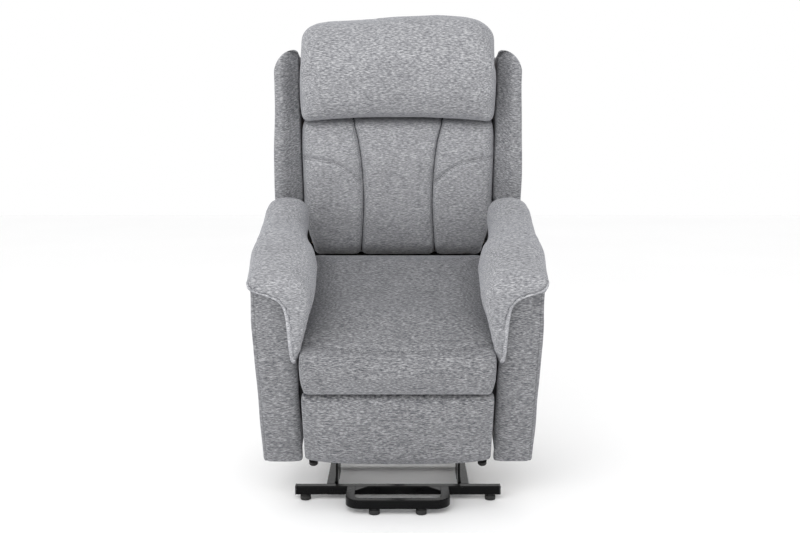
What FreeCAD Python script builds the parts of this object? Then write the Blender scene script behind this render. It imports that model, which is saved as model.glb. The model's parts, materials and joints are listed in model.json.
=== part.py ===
"""Lift recliner chair: a steel lift base, a tilting chair, a reclining back and a folding footrest.

Millimetres. X runs to the right of someone facing the chair, Y runs back, Z runs up.
The origin is on the floor in the middle of the lifted chair's plan. The chair stands lifted.
"""
import FreeCAD, Part
import math
import os
import Sketcher

doc = FreeCAD.newDocument("LiftRecliner")
sheet = doc.addObject("Spreadsheet::Sheet", "Sizes")
NODES = []


# ---------------------------------------------------------------- sizes

class Size:
    """A number and the expression that gives it from the spreadsheet's cells."""

    def __init__(self, value, text):
        self.value = value
        self.text = text

    def __add__(self, other):
        other = as_size(other)
        return Size(self.value + other.value, f"({self.text} + {other.text})")

    def __sub__(self, other):
        other = as_size(other)
        return Size(self.value - other.value, f"({self.text} - {other.text})")

    def __mul__(self, other):
        other = as_size(other)
        return Size(self.value * other.value, f"({self.text} * {other.text})")

    def __truediv__(self, other):
        other = as_size(other)
        return Size(self.value / other.value, f"({self.text} / {other.text})")

    def __neg__(self):
        return Size(-self.value, f"(0 - {self.text})")

    __radd__ = __add__
    __rmul__ = __mul__

    def __rsub__(self, other):
        return as_size(other) - self


def as_size(number):
    return number if isinstance(number, Size) else Size(float(number), f"{float(number):.6f}")


def cos(angle):
    return Size(math.cos(math.radians(angle.value)), f"cos({angle.text} * 1 deg)")


def sin(angle):
    return Size(math.sin(math.radians(angle.value)), f"sin({angle.text} * 1 deg)")


def square_root(number):
    return Size(math.sqrt(number.value), f"sqrt({number.text})")


def heading(dy, dz):
    """The angle of the direction (dy, dz) in the Y-Z plane, in degrees."""
    degrees = math.degrees(math.atan2(dz.value, dy.value))
    return Size(degrees, f"(atan2({dz.text}; {dy.text}) / 1 deg)")


def cell(alias, value, note):
    row = cell.row
    cell.row += 1
    sheet.set(f"A{row}", note)
    sheet.set(f"B{row}", str(value))
    sheet.setAlias(f"B{row}", alias)
    return Size(float(value), f"Sizes.{alias}")


cell.row = 1

# Base, measured from the floor and from the front crossbar's centre line
base_y = cell("base_shift", -111, "front crossbar, from the origin along Y")
tube = cell("tube_width", 24.8, "square tube of the base")
wall = cell("tube_wall", 2, "tube wall")
foot_top = cell("foot_height", 16.3, "base feet")
cross_half = cell("crossbar_half", 285.5, "half length of the crossbars")
cross_foot = cell("crossbar_foot", 260.5, "feet of the crossbars, from the middle")
rail_out = cell("rail_outer", 202, "outer faces of the rails, from the middle")
rear_bar = cell("rear_bar", 500, "rear crossbar, from the front one")
middle_bar = cell("middle_bar", 290, "middle crossbar, from the front one")
loop_half = cell("loop_half", 143.6, "half width of the front loop")
loop_reach = cell("loop_reach", 117, "front bar of the loop, ahead of the crossbar")
loop_foot = cell("loop_foot", 64, "feet of the loop, from the middle")
loop_corner = cell("loop_corner", 44, "outer corner radius of the loop")
foot_r = cell("foot_radius", 15, "base feet, radius")
gusset = cell("gusset_leg", 34, "legs of the loop's corner gussets")

# The lifted chair's place over the base
tilt = cell("chair_tilt", 27, "forward tilt of the lifted chair, degrees")
chair_back = cell("chair_offset", 14, "chair's reference corner, behind the front crossbar")
chair_up = cell("chair_raise", 62, "chair's reference corner, above the floor")

# Lift linkage
arm_y = cell("arm_pivot_back", 60, "lift arm pivot, behind the front crossbar")
arm_z = cell("arm_pivot_up", 105, "lift arm pivot, above the floor")
arm_len = cell("arm_length", 340.4462, "lift arm between pivots")
arm_angle = cell("arm_angle", 34.72176, "lift arm, raised angle in degrees")
rear_y = cell("rear_pivot_back", 150, "rear link pivot, behind the front crossbar")
rear_z = cell("rear_pivot_up", 118, "rear link pivot, above the floor")
rear_len = cell("rear_length", 296.679, "rear link between pivots")
rear_angle = cell("rear_angle", 38.145, "rear link, raised angle in degrees")
torque_at = cell("torque_tube_at", 112, "torque tube, along the lift arm")
lever_len = cell("lever_reach", 140, "actuator lever's pin, from the lift arm pivot")
lever_angle = cell("lever_angle", 40, "actuator lever's pin, above the lift arm in degrees")
motor_y = cell("actuator_pivot_back", 455, "lift actuator's base pivot, behind the front crossbar")
motor_z = cell("actuator_pivot_up", 80, "lift actuator's base pivot, above the floor")

# Chair, measured from its own reference corner: front of the arms, floor when lowered
arm_in = cell("arm_inner", 268, "inner faces of the arms, from the middle")
arm_out = cell("arm_outer", 374, "outer faces of the arms' fronts, from the middle")
arm_side = cell("arm_side", 367, "outer faces of the arms' sides, from the middle")
pad_in = cell("pad_inner", 218, "inner faces of the arm pads, which overhang the seat")
arm_low = cell("arm_bottom", 53, "bottom of the arms")
arm_top = cell("arm_box_top", 604, "top of the arm boxes, under the pads")
pad_front = cell("pad_front_top", 684, "top of the arm pads at the front")
pad_rear = cell("pad_rear_top", 676, "top of the arm pads at the rear")
pad_end = cell("pad_end", 455, "rear end of the arm pads")
seat_half = cell("seat_half", 262, "half width of the seat, footrest and cushions")
seat_front = cell("seat_front", -45, "front of the seat cushion")
seat_rear = cell("seat_rear", 492, "rear of the seat cushion")
seat_low = cell("seat_underside", 343, "underside of the seat cushion")
seat_top_front = cell("seat_top_front", 487, "seat cushion's top at the front")
seat_top_rear = cell("seat_top_rear", 436, "seat cushion's top at the rear")
plate_in = cell("side_plate_inner", 238, "mechanism side plates' inner faces, from the middle")
steel = cell("plate_thickness", 5, "mechanism side plates")
rest_y = cell("stop_back", 10, "lowered stops, behind the arms' fronts")
hinge_y = cell("hinge_back", 560, "back hinge, behind the arms' fronts")
hinge_z = cell("hinge_up", 240, "back hinge, above the lowered floor")
front_tube_y = cell("front_tube_back", 220, "front cross tube")
front_tube_z = cell("front_tube_up", 200, "front cross tube")
rear_tube_y = cell("rear_tube_back", 470, "rear cross tube")
rear_tube_z = cell("rear_tube_up", 178, "rear cross tube")
arm_hole_y = cell("lift_hole_back", 397.87, "lift arm's upper pivot, in the lift plates")
arm_hole_z = cell("lift_hole_up", 63.17, "lift arm's upper pivot, in the lift plates")
link_y = cell("rear_link_nut_back", 437.684, "rear link's upper pivot, in the lift plates")
link_z = cell("rear_link_nut_up", 45.5, "rear link's upper pivot, in the lift plates")
board = cell("board_thickness", 20, "boards of the seat frame's cross pieces")

# Footrest
foot_low = cell("footrest_bottom", 86, "footrest pad, bottom edge when closed")
foot_high = cell("footrest_top", 334, "footrest pad, top edge when closed")
swing_y = cell("footrest_pivot_back", 60, "footrest links' main pivot")
swing_z = cell("footrest_pivot_up", 235, "footrest links' main pivot")
knee_y = cell("footrest_knee_back", 134.52, "middle joint of the footrest links when closed")
knee_z = cell("footrest_knee_up", 82.21, "middle joint of the footrest links when closed")
panel_y = cell("footrest_joint_back", 24, "footrest bracket's joint when closed")
panel_z = cell("footrest_joint_up", 250, "footrest bracket's joint when closed")
twin_y = cell("footrest_twin_back", 34, "control link, from the main link along Y")
twin_z = cell("footrest_twin_up", 0, "control link, from the main link along Z")

# Back, measured from its hinge along its own slope
back_lean = cell("back_lean", 8.6, "back's slope when upright, degrees")
wing_half = cell("wing_half", 348, "half width over the wings")
wing_in = cell("wing_inner", 280, "inner faces of the wings, from the middle")
wing_top = cell("wing_top", 786, "top of the wings")
wing_low = cell("wing_bottom", 340, "lower end of the wings' front edges")
wing_front = cell("wing_front", 130, "front edges of the wings, ahead of the hinge")
shell_top = cell("shell_top", 735, "top of the rear panel")
back_rear = cell("back_rear", 75, "rear face of the back")
cushion_half = cell("cushion_half", 276, "half width of the back cushion")
pillow_half = cell("pillow_half", 270, "half width of the head pillow")
cushion_low = cell("back_cushion_bottom", 150, "lower edge of the back cushion")
cushion_top = cell("back_cushion_top", 590, "upper edge of the back cushion")
pillow_top = cell("pillow_top", 890, "top of the head pillow")
back_pin_y = cell("back_pin_back", 540.8, "back actuator's pin on the back")
back_pin_z = cell("back_pin_up", 313.7, "back actuator's pin on the back")
back_motor_y = cell("back_motor_back", 250, "back actuator's pin on the chair")
back_motor_z = cell("back_motor_up", 170, "back actuator's pin on the chair")
back_motor_x = cell("back_motor_side", 80, "back actuator, from the middle")

# Hardware
pin_r = cell("pin_radius", 5, "main pivot pins")
small_pin_r = cell("small_pin_radius", 4, "footrest pivot pins")
play = cell("pivot_play", 0.08, "radial clearance of a pivot")

SIDES = ((-1, "left"), (1, "right"))
doc.recompute()


# ---------------------------------------------------------------- shape helpers

def bind(piece, name, size):
    """Give a property its number, and its expression where the number has one."""
    if isinstance(size, Size):
        piece.setExpression(name, size.text)
    elif "." not in name:
        setattr(piece, name, size)


def place(piece, x=0.0, y=0.0, z=0.0, axis=None, angle=0.0):
    """Put a piece at a point, turned by an angle in degrees about an axis."""
    spots = [as_size(x), as_size(y), as_size(z)]
    turn = as_size(angle)
    rotation = FreeCAD.Rotation(axis or FreeCAD.Vector(1, 0, 0), turn.value)
    piece.Placement = FreeCAD.Placement(FreeCAD.Vector(*[s.value for s in spots]), rotation)
    for name, spot in zip("xyz", spots):
        piece.setExpression(f"Placement.Base.{name}", spot.text)
    if isinstance(angle, Size):
        piece.setExpression("Placement.Rotation.Angle", f"{turn.text} * 1 deg")
    return piece


def box(name, x, y, z):
    """A box between two planes on each axis."""
    piece = doc.addObject("Part::Box", name)
    for side, (low, high) in (("Length", x), ("Width", y), ("Height", z)):
        bind(piece, side, as_size(high) - as_size(low))
    return place(piece, x[0], y[0], z[0])


AXES = {
    "x": (FreeCAD.Vector(0, 1, 0), 90),
    "y": (FreeCAD.Vector(1, 0, 0), -90),
    "z": (FreeCAD.Vector(1, 0, 0), 0),
}


def rod(name, along, start, length, radius):
    """A round bar along an axis from its start point."""
    piece = doc.addObject("Part::Cylinder", name)
    bind(piece, "Radius", as_size(radius))
    bind(piece, "Height", as_size(length))
    axis, angle = AXES[along]
    return place(piece, *start, axis=axis, angle=angle)


def hexagon(name, start, length, radius):
    """A hexagonal bolt head or nut along X."""
    piece = doc.addObject("Part::Prism", name)
    piece.Polygon = 6
    bind(piece, "Circumradius", as_size(radius))
    bind(piece, "Height", as_size(length))
    axis, angle = AXES["x"]
    return place(piece, *start, axis=axis, angle=angle)


def cut(name, base, *tools):
    for number, tool in enumerate(tools):
        last = number == len(tools) - 1
        piece = doc.addObject("Part::Cut", name if last else f"{name}_step{number}")
        piece.Base = base
        piece.Tool = tool
        base = piece
    return piece


def fuse(name, *pieces):
    piece = doc.addObject("Part::MultiFuse", name)
    piece.Shapes = list(pieces)
    piece.Refine = True
    return piece


def soften(name, base, radius, chosen=None):
    """Round the chosen edges of a piece, or all of them."""
    doc.recompute()
    piece = doc.addObject("Part::Fillet", name)
    piece.Base = base
    edges = enumerate(base.Shape.Edges, 1)
    piece.Edges = [(n, radius, radius) for n, edge in edges if chosen is None or chosen(edge)]
    return piece


def runs_along(direction):
    """A test for straight edges that run along a direction."""
    def test(edge):
        line = edge.Vertexes[-1].Point - edge.Vertexes[0].Point
        return line.Length > 0 and abs(line.normalize().dot(direction)) > 0.999
    return test


def square_tube(name, along, x, y, z, corner=3.0):
    """A hollow square tube with rounded corners between the given planes."""
    directions = {"x": FreeCAD.Vector(1, 0, 0), "y": FreeCAD.Vector(0, 1, 0)}
    outer = soften(f"{name}_skin", box(f"{name}_bar", x, y, z), corner, runs_along(directions[along]))
    spans = [list(map(as_size, span)) for span in (x, y, z)]
    for number, axis in enumerate("xyz"):
        step = -1 if axis == along else wall
        spans[number] = (spans[number][0] + step, spans[number][1] - step)
    return cut(name, outer, box(f"{name}_bore", *spans))


def sketch_outline(body, points):
    """A closed outline of straight lines on the body's Y-Z plane, each corner bound to its sizes."""
    plane = [p for p in body.Origin.OriginFeatures if p.Role == "YZ_Plane"][0]
    sketch = body.newObject("Sketcher::SketchObject", f"{body.Name}_outline")
    sketch.AttachmentSupport = [(plane, "")]
    sketch.MapMode = "FlatFace"
    corners = [(as_size(y), as_size(z)) for y, z in points]
    count = len(corners)
    for number, (y, z) in enumerate(corners):
        end_y, end_z = corners[(number + 1) % count]
        start = FreeCAD.Vector(y.value, z.value, 0)
        end = FreeCAD.Vector(end_y.value, end_z.value, 0)
        sketch.addGeometry(Part.LineSegment(start, end), False)
    for number in range(count):
        following = (number + 1) % count
        sketch.addConstraint(Sketcher.Constraint("Coincident", number, 2, following, 1))
    for number, (y, z) in enumerate(corners):
        for kind, size in (("DistanceX", y), ("DistanceY", z)):
            at = sketch.addConstraint(Sketcher.Constraint(kind, -1, 1, number, 1, size.value))
            sketch.setExpression(f"Constraints[{at}]", size.text)
    return sketch


def pad(body, sketch, thickness):
    piece = body.newObject("PartDesign::Pad", f"{body.Name}_pad")
    piece.Profile = sketch
    bind(piece, "Length", as_size(thickness))
    sketch.Visibility = False
    return piece


def profile(name, points, x, thickness, radius=0.0, along_only=False):
    """A plate or cushion: an outline in the Y-Z plane, padded along X and rounded at its edges."""
    body = doc.addObject("PartDesign::Body", name)
    solid = pad(body, sketch_outline(body, points), thickness)
    if radius:
        doc.recompute()
        across = runs_along(FreeCAD.Vector(1, 0, 0))
        edges = enumerate(solid.Shape.Edges, 1)
        names = [f"Edge{n}" for n, edge in edges if not along_only or across(edge)]
        rounded = body.newObject("PartDesign::Fillet", f"{name}_round")
        rounded.Base = (solid, names)
        rounded.Radius = radius
        body.Tip = rounded
    return place(body, x=x)


def bar(name, start, length, angle, x, thickness, half_width, holes=()):
    """A flat bar with round ends between two pivots, from start, at an angle in the Y-Z plane."""
    body = doc.addObject("PartDesign::Body", name)
    plane = [p for p in body.Origin.OriginFeatures if p.Role == "YZ_Plane"][0]
    sketch = body.newObject("Sketcher::SketchObject", f"{name}_outline")
    sketch.AttachmentSupport = [(plane, "")]
    sketch.MapMode = "FlatFace"
    length = as_size(length)
    half = as_size(half_width)
    normal = FreeCAD.Vector(0, 0, 1)
    ends = (FreeCAD.Vector(0, 0, 0), FreeCAD.Vector(length.value, 0, 0))
    turn = math.pi / 2
    for centre, first in zip(ends, (turn, -turn)):
        circle = Part.Circle(centre, normal, half.value)
        sketch.addGeometry(Part.ArcOfCircle(circle, first, first + math.pi), False)
    for side in (-1, 1):
        offset = FreeCAD.Vector(0, side * half.value, 0)
        line = (ends[0] + offset, ends[1] + offset)
        sketch.addGeometry(Part.LineSegment(*(line if side < 0 else line[::-1])), False)
    for pair in ((0, 2, 2, 1), (2, 2, 1, 1), (1, 2, 3, 1), (3, 2, 0, 1)):
        sketch.addConstraint(Sketcher.Constraint("Tangent", *pair))
    sketch.addConstraint(Sketcher.Constraint("Coincident", 0, 3, -1, 1))
    sketch.addConstraint(Sketcher.Constraint("PointOnObject", 1, 3, -1))
    reach = sketch.addConstraint(Sketcher.Constraint("DistanceX", -1, 1, 1, 3, length.value))
    sketch.setExpression(f"Constraints[{reach}]", length.text)
    width = sketch.addConstraint(Sketcher.Constraint("Radius", 0, half.value))
    sketch.setExpression(f"Constraints[{width}]", half.text)
    for number, (at, radius) in enumerate(holes):
        at = as_size(at)
        radius = as_size(radius)
        centre = FreeCAD.Vector(at.value, 0, 0)
        ring = sketch.addGeometry(Part.Circle(centre, normal, radius.value), False)
        if at.value:
            sketch.addConstraint(Sketcher.Constraint("PointOnObject", ring, 3, -1))
            spot = sketch.addConstraint(Sketcher.Constraint("DistanceX", -1, 1, ring, 3, at.value))
            sketch.setExpression(f"Constraints[{spot}]", at.text)
        else:
            sketch.addConstraint(Sketcher.Constraint("Coincident", ring, 3, -1, 1))
        size = sketch.addConstraint(Sketcher.Constraint("Radius", ring, radius.value))
        sketch.setExpression(f"Constraints[{size}]", radius.text)
    pad(body, sketch, thickness)
    return place(body, x=x, y=start[0], z=start[1], angle=angle)


# ---------------------------------------------------------------- frames and nodes

def chair_to_row(y, z):
    """A point of the chair's own frame, in the row's frame."""
    y = as_size(y)
    z = as_size(z)
    row_y = y * cos(tilt) - z * sin(tilt) + chair_back + base_y
    row_z = y * sin(tilt) + z * cos(tilt) + chair_up
    return row_y, row_z


BACK_TILT = tilt - back_lean
FRAMES = {
    "base": (base_y, as_size(0), as_size(0)),
    "chair": (*chair_to_row(0, 0), tilt),
    "back": (*chair_to_row(hinge_y, hinge_z), BACK_TILT),
}


def node(label, frame, *pieces):
    """One named sub-part: its pieces, carried to their place by one of the frames."""
    whole = doc.addObject("Part::Compound", f"node_{label}")
    whole.Links = list(pieces)
    whole.Label = label
    y, z, angle = FRAMES[frame]
    place(whole, y=y, z=z, angle=angle)
    NODES.append(whole)
    return whole


def mirrored(side, near, thickness):
    """The low X of a plate that starts at a distance from the middle, on one side."""
    near = as_size(near)
    return near if side > 0 else -(near + thickness)


def spread(side, low, high):
    """The two X planes of a box that lies between two distances from the middle."""
    return (low, high) if side > 0 else (-as_size(high), -as_size(low))


# ---------------------------------------------------------------- base

tube_top = foot_top + tube
rail_in = rail_out - tube


def base_frame():
    level = (foot_top, tube_top)
    half_tube = tube / 2
    for name, at in (("base_front_crossbar", as_size(0)), ("base_rear_crossbar", rear_bar)):
        span = (at - half_tube, at + half_tube)
        node(name, "base", square_tube(f"{name}_tube", "x", (-cross_half, cross_half), span, level))
    span = (middle_bar - half_tube, middle_bar + half_tube)
    node("base_middle_crossbar", "base",
         square_tube("middle_tube", "x", (-rail_in, rail_in), span, level))
    for side, word in SIDES:
        long_way = (half_tube, rear_bar - half_tube)
        rail = square_tube(f"rail_{word}", "y", spread(side, rail_in, rail_out), long_way, level)
        node(f"base_rail_{word}", "base", rail)


def base_loop():
    """The U-shaped front foot bar, with both its bends rounded."""
    half_tube = tube / 2
    upright = FreeCAD.Vector(0, 0, 1)

    def front_corner(edge):
        return runs_along(upright)(edge) and edge.Vertexes[0].Y < -loop_reach.value / 2

    front = -(loop_reach + half_tube)
    outer = box("loop_block", (-loop_half, loop_half), (front, -half_tube), (foot_top, tube_top))
    outer = soften("loop_rounded", outer, loop_corner.value, front_corner)
    inside = loop_half - tube
    window = box("loop_window", (-inside, inside), (front + tube, 0), (foot_top - 1, tube_top + 1))
    window = soften("loop_window_rounded", window, loop_corner.value - tube.value, front_corner)
    loop = cut("loop_bent", outer, window)

    def outer_rim(edge):
        flat = edge.BoundBox.ZLength < 0.01
        return flat and edge.BoundBox.YMin < -half_tube.value - 1

    node("base_front_loop", "base", soften("loop_soft", loop, 2.2, outer_rim))


def base_gussets():
    """Two triangular plates in the inner corners between the crossbar and the loop."""
    plates = []
    for side, word in SIDES:
        plate = doc.addObject("Part::Wedge", f"gusset_{word}")
        bind(plate, "Zmax", as_size(3.0))
        plate.Xmin = 0
        plate.Ymin = 0
        plate.Zmin = 0
        bind(plate, "Xmax", gusset)
        bind(plate, "Ymax", gusset)
        plate.X2min = 0
        plate.Z2min = 0
        plate.Z2max = 3.0
        plate.X2max = 0
        start = side * (loop_half - tube)
        turn = FreeCAD.Vector(0, 0, 1) if side > 0 else FreeCAD.Vector(1, 0, 0)
        low = tube_top - 3 if side > 0 else tube_top
        place(plate, start, -tube / 2, low, axis=turn, angle=180)
        plates.append(plate)
    node("base_gussets", "base", *plates)


def base_feet():
    """Round glides with a short stem plate, under the loop and both crossbars."""
    feet = []
    spots = [(side * 1.0, at, along) for side, _ in SIDES
             for at, along in ((loop_foot, -loop_reach), (cross_foot, as_size(0)), (cross_foot, rear_bar))]
    for number, (side, at, along) in enumerate(spots):
        x = at * side
        sole = rod(f"foot_sole{number}", "z", (x, along, 0), foot_top - 4, foot_r)
        sole = soften(f"foot_round{number}", sole, 2.0)
        neck = rod(f"foot_neck{number}", "z", (x, along, foot_top - 4), 4, foot_r - 5)
        feet.append(fuse(f"foot{number}", sole, neck))
    node("base_feet", "base", *feet)


def end_caps():
    """Moulded caps over the open ends of both crossbars."""
    caps = []
    half_tube = tube / 2
    for number, along in enumerate((as_size(0), rear_bar)):
        for side, word in SIDES:
            x = spread(side, cross_half, cross_half + 4)
            cap = box(f"cap{number}{word}", x, (along - half_tube, along + half_tube), (foot_top, tube_top))
            caps.append(soften(f"cap_soft{number}{word}", cap, 1.5))
    node("base_end_caps", "base", *caps)


def base_brackets():
    """Plates that carry the lift arms, the rear links and the lift actuator."""
    hole = pin_r + play
    plates = []
    for side, word in SIDES:
        x = mirrored(side, 171, as_size(6))
        low = foot_top + 3
        outline = [(arm_y - 32, low), (arm_y - 32, tube_top), (arm_y - 17, arm_z + 8),
                   (arm_y - 8, arm_z + 16), (arm_y + 8, arm_z + 16), (arm_y + 17, arm_z + 8),
                   (arm_y + 32, tube_top), (arm_y + 32, low)]
        plate = profile(f"arm_bracket_{word}_plate", outline, x, 6.2, 4.0, along_only=True)
        bore = rod(f"arm_bracket_{word}_bore", "x", (x - 1, arm_y, arm_z), 9, hole)
        plates.append(cut(f"arm_bracket_{word}", plate, bore))
    node("lift_arm_brackets", "base", *plates)
    plates = []
    for side, word in SIDES:
        x = mirrored(side, 171, as_size(6))
        low = foot_top + 3
        outline = [(rear_y - 40, low), (rear_y - 40, tube_top), (rear_y - 18, rear_z + 15),
                   (rear_y + 18, rear_z + 15), (rear_y + 40, tube_top), (rear_y + 40, low)]
        plate = profile(f"rear_bracket_{word}_plate", outline, x, 6.2, 5.0, along_only=True)
        bore = rod(f"rear_bracket_{word}_bore", "x", (x - 1, rear_y, rear_z), 9, hole)
        plates.append(cut(f"rear_bracket_{word}", plate, bore))
    node("rear_link_brackets", "base", *plates)
    ears = []
    for side, word in SIDES:
        x = mirrored(side, 16, 5)
        front = rear_bar - tube / 2
        outline = [(front, foot_top + 2), (front, tube_top + 30), (motor_y + 6, motor_z + 16),
                   (motor_y - 12, motor_z + 14), (motor_y - 14, motor_z - 10),
                   (motor_y + 4, foot_top + 2)]
        ear = profile(f"actuator_ear_{word}_plate", outline, x, 5, 3.0, along_only=True)
        bore = rod(f"actuator_ear_{word}_bore", "x", (x - 1, motor_y, motor_z), 7, hole)
        ears.append(cut(f"actuator_ear_{word}", ear, bore))
    pin = rod("base_pin", "x", (-25, motor_y, motor_z), 50, pin_r)
    heads = [hexagon(f"base_pin_{word}_head", (mirrored(side, 25, 3), motor_y, motor_z), 3, 9)
             for side, word in SIDES]
    node("lift_actuator_bracket", "base", *ears, fuse("base_pin_whole", pin, *heads))


# ---------------------------------------------------------------- lift linkage

arm_end = (arm_y + arm_len * cos(arm_angle), arm_z + arm_len * sin(arm_angle))
torque_spot = (arm_y + torque_at * cos(arm_angle), arm_z + torque_at * sin(arm_angle))
lever_heading = arm_angle + lever_angle
lever_pin = (arm_y + lever_len * cos(lever_heading), arm_z + lever_len * sin(lever_heading))


def pivot_pin(name, side, near, far, spot, radius):
    """A pin along X between two distances from the middle."""
    low = spread(side, near, far)[0]
    return rod(name, "x", (low, *spot), as_size(far) - as_size(near), radius)


def lift_arms():
    for side, word in SIDES:
        flat = bar(f"arm_{word}_bar", (arm_y, arm_z), arm_len, arm_angle, mirrored(side, 144, 8), 8, 19)
        bore = rod(f"arm_{word}_bore", "x", (mirrored(side, 143, 10), *torque_spot), 10, 14)
        pins = [
            pivot_pin(f"arm_{word}_base_pin", side, 151, 178.6, (arm_y, arm_z), pin_r),
            pivot_pin(f"arm_{word}_chair_pin", side, 151, 161.5, arm_end, pin_r),
            hexagon(f"arm_{word}_nut", (mirrored(side, 139, 5.5), arm_y, arm_z), 5.5, 10),
        ]
        arm = fuse(f"arm_{word}", cut(f"arm_{word}_cut", flat, bore), *pins)
        node(f"lift_arm_{word}", "base", arm)
    skin = rod("torque_skin", "x", (-152, *torque_spot), 304, 13.95)
    hollow = rod("torque_hollow", "x", (-153, *torque_spot), 306, 11)
    dy = lever_pin[0] - torque_spot[0]
    dz = lever_pin[1] - torque_spot[1]
    reach = square_root(dy * dy + dz * dz)
    levers = []
    for side, word in SIDES:
        x = mirrored(side, 17, 5)
        levers.append(bar(f"lever_{word}", torque_spot, reach, heading(dy, dz), x, 5, 19,
                          holes=((0, 13), (reach, 6))))
    welded = fuse("torque_welded", skin, *levers)
    node("lift_torque_tube", "base", cut("torque_tube", welded, hollow))


def rear_links():
    for side, word in SIDES:
        flat = bar(f"rear_{word}_bar", (rear_y, rear_z), rear_len, rear_angle,
                   mirrored(side, 163, 6), 6, 13)
        far_y = rear_y + rear_len * cos(rear_angle)
        far_z = rear_z + rear_len * sin(rear_angle)
        pin = pivot_pin(f"rear_{word}_pin", side, 168, 178.6, (rear_y, rear_z), pin_r)
        head = hexagon(f"rear_{word}_head", (mirrored(side, 169, 3.5), far_y, far_z), 3.5, 9)
        node(f"rear_link_{word}", "base", fuse(f"rear_{word}", flat, pin, head))


def actuator(name, frame, start, end, x, tube_span, rod_start, motor_side):
    """A linear actuator between two pins: gearbox and motor, outer tube, and a rod with an eye."""
    dy = end[0] - start[0]
    dz = end[1] - start[1]
    length = square_root(dy * dy + dz * dz)
    turn = heading(dy, dz)

    def aim(piece):
        """Carry a piece built along +Y from the start pin to its place."""
        holder = doc.addObject("Part::Compound", f"{piece.Name}_aimed")
        holder.Links = [piece]
        return place(holder, x=x, y=start[0], z=start[1], angle=turn)

    near, far = tube_span
    gearbox = box(f"{name}_gearbox", (-13.5, 13.5), (-16, near), (-17, 17))
    gearbox = soften(f"{name}_gearbox_soft", gearbox, 4.0)
    gear_motor = box(f"{name}_neck", (-13.5, 13.5), (near - 46, near), (-30, 26))
    gear_motor = soften(f"{name}_neck_soft", gear_motor, 5.0)
    motor_low = 10 if motor_side > 0 else -86
    can = rod(f"{name}_can", "x", (motor_low, near - 23, -2), 76, 20.5)
    can = soften(f"{name}_can_soft", can, 3.0)
    whole = fuse(f"{name}_casing", gearbox, gear_motor, can)
    eye = rod(f"{name}_eye_bore", "x", (-20, 0, 0), 40, pin_r + play)
    node(f"{name}_motor", frame, aim(cut(f"{name}_case", whole, eye)))

    outer = rod(f"{name}_tube_skin", "y", (0, near, 0), far - near, 16)
    inner = rod(f"{name}_tube_bore", "y", (0, near - 1, 0), far - near + 2, 11)
    node(f"{name}_tube", frame, aim(cut(f"{name}_tube_cut", outer, inner)))

    stem = rod(f"{name}_stem", "y", (0, rod_start, 0), length - rod_start - 8, 10)
    eye_end = rod(f"{name}_eye", "x", (-8, length, 0), 16, 12)
    eye_hole = rod(f"{name}_eye_hole", "x", (-9, length, 0), 18, 5)
    stem = cut(f"{name}_rod_cut", fuse(f"{name}_rod_body", stem, eye_end), eye_hole)
    node(f"{name}_rod", frame, aim(stem))


# ---------------------------------------------------------------- chair frame

def chair_tubes():
    tubes = []
    for name, y, z in (("front_cross_tube", front_tube_y, front_tube_z),
                       ("rear_cross_tube", rear_tube_y, rear_tube_z)):
        skin = rod(f"{name}_skin", "x", (-plate_in, y, z), plate_in * 2, 12.5)
        hollow = rod(f"{name}_hollow", "x", (-plate_in - 1, y, z), plate_in * 2 + 2, 10.5)
        tubes.append(cut(f"{name}_cut", skin, hollow))
    node("cross_tubes", "chair", *tubes)


def lift_plates():
    """Plates that hang from the two cross tubes and carry the lift arms' upper pivots."""
    for side, word in SIDES:
        x = mirrored(side, 155, 5)
        outline = [(198, 186), (arm_hole_y - 18, arm_hole_z - 16), (link_y, link_z - 15),
                   (link_y + 16, link_z - 6), (link_y + 20, link_z + 20), (492, 165), (486, 195),
                   (464, 200), (222, 222), (198, 212)]
        plate = profile(f"lift_plate_{word}_blank", outline, x, 5, 5.0, along_only=True)
        holes = [
            rod(f"lift_plate_{word}_hole0", "x", (x - 1, front_tube_y, front_tube_z), 7, 12.55),
            rod(f"lift_plate_{word}_hole1", "x", (x - 1, rear_tube_y, rear_tube_z), 7, 12.55),
            rod(f"lift_plate_{word}_hole2", "x", (x - 1, arm_hole_y, arm_hole_z), 7, pin_r + play),
        ]
        plate = cut(f"lift_plate_{word}_cut", plate, *holes)
        nut = hexagon(f"lift_plate_{word}_nut", (mirrored(side, 151, 4), link_y, link_z), 4, 9)
        node(f"lift_plate_{word}", "chair", fuse(f"lift_plate_{word}_whole", plate, nut))


def side_plates():
    """Long mechanism plates: lowered stop at the front, footrest pivots, hinge at the rear."""
    for side, word in SIDES:
        x = mirrored(side, plate_in, steel)
        outline = [(rest_y - 8, arm_low), (rest_y + 14, arm_low), (60, 160), (170, 160), (240, 182),
                   (480, 160), (500, 205), (hinge_y + 14, hinge_z - 20), (hinge_y + 18, hinge_z),
                   (hinge_y, hinge_z + 18), (470, 262), (50, 262), (38, 245)]
        plate = profile(f"side_plate_{word}_blank", outline, x, steel, 5.0, along_only=True)
        holes = [
            rod(f"side_plate_{word}_hole0", "x", (x - 1, swing_y, swing_z), 7, small_pin_r + play),
            rod(f"side_plate_{word}_hole1", "x", (x - 1, swing_y + twin_y, swing_z + twin_z), 7,
                small_pin_r + play),
            rod(f"side_plate_{word}_hole2", "x", (x - 1, hinge_y, hinge_z), 7, pin_r + play),
        ]
        node(f"mechanism_plate_{word}", "chair", cut(f"side_plate_{word}", plate, *holes))


def stops():
    """Rubber stops that land on the front crossbar when the chair comes down."""
    pads = []
    for side, word in SIDES:
        x = side * (plate_in - 0.5)
        pads.append(rod(f"stop_{word}", "z", (x, rest_y, arm_low - 11), 11, 12.5))
    node("lowered_stops", "chair", *pads)


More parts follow.
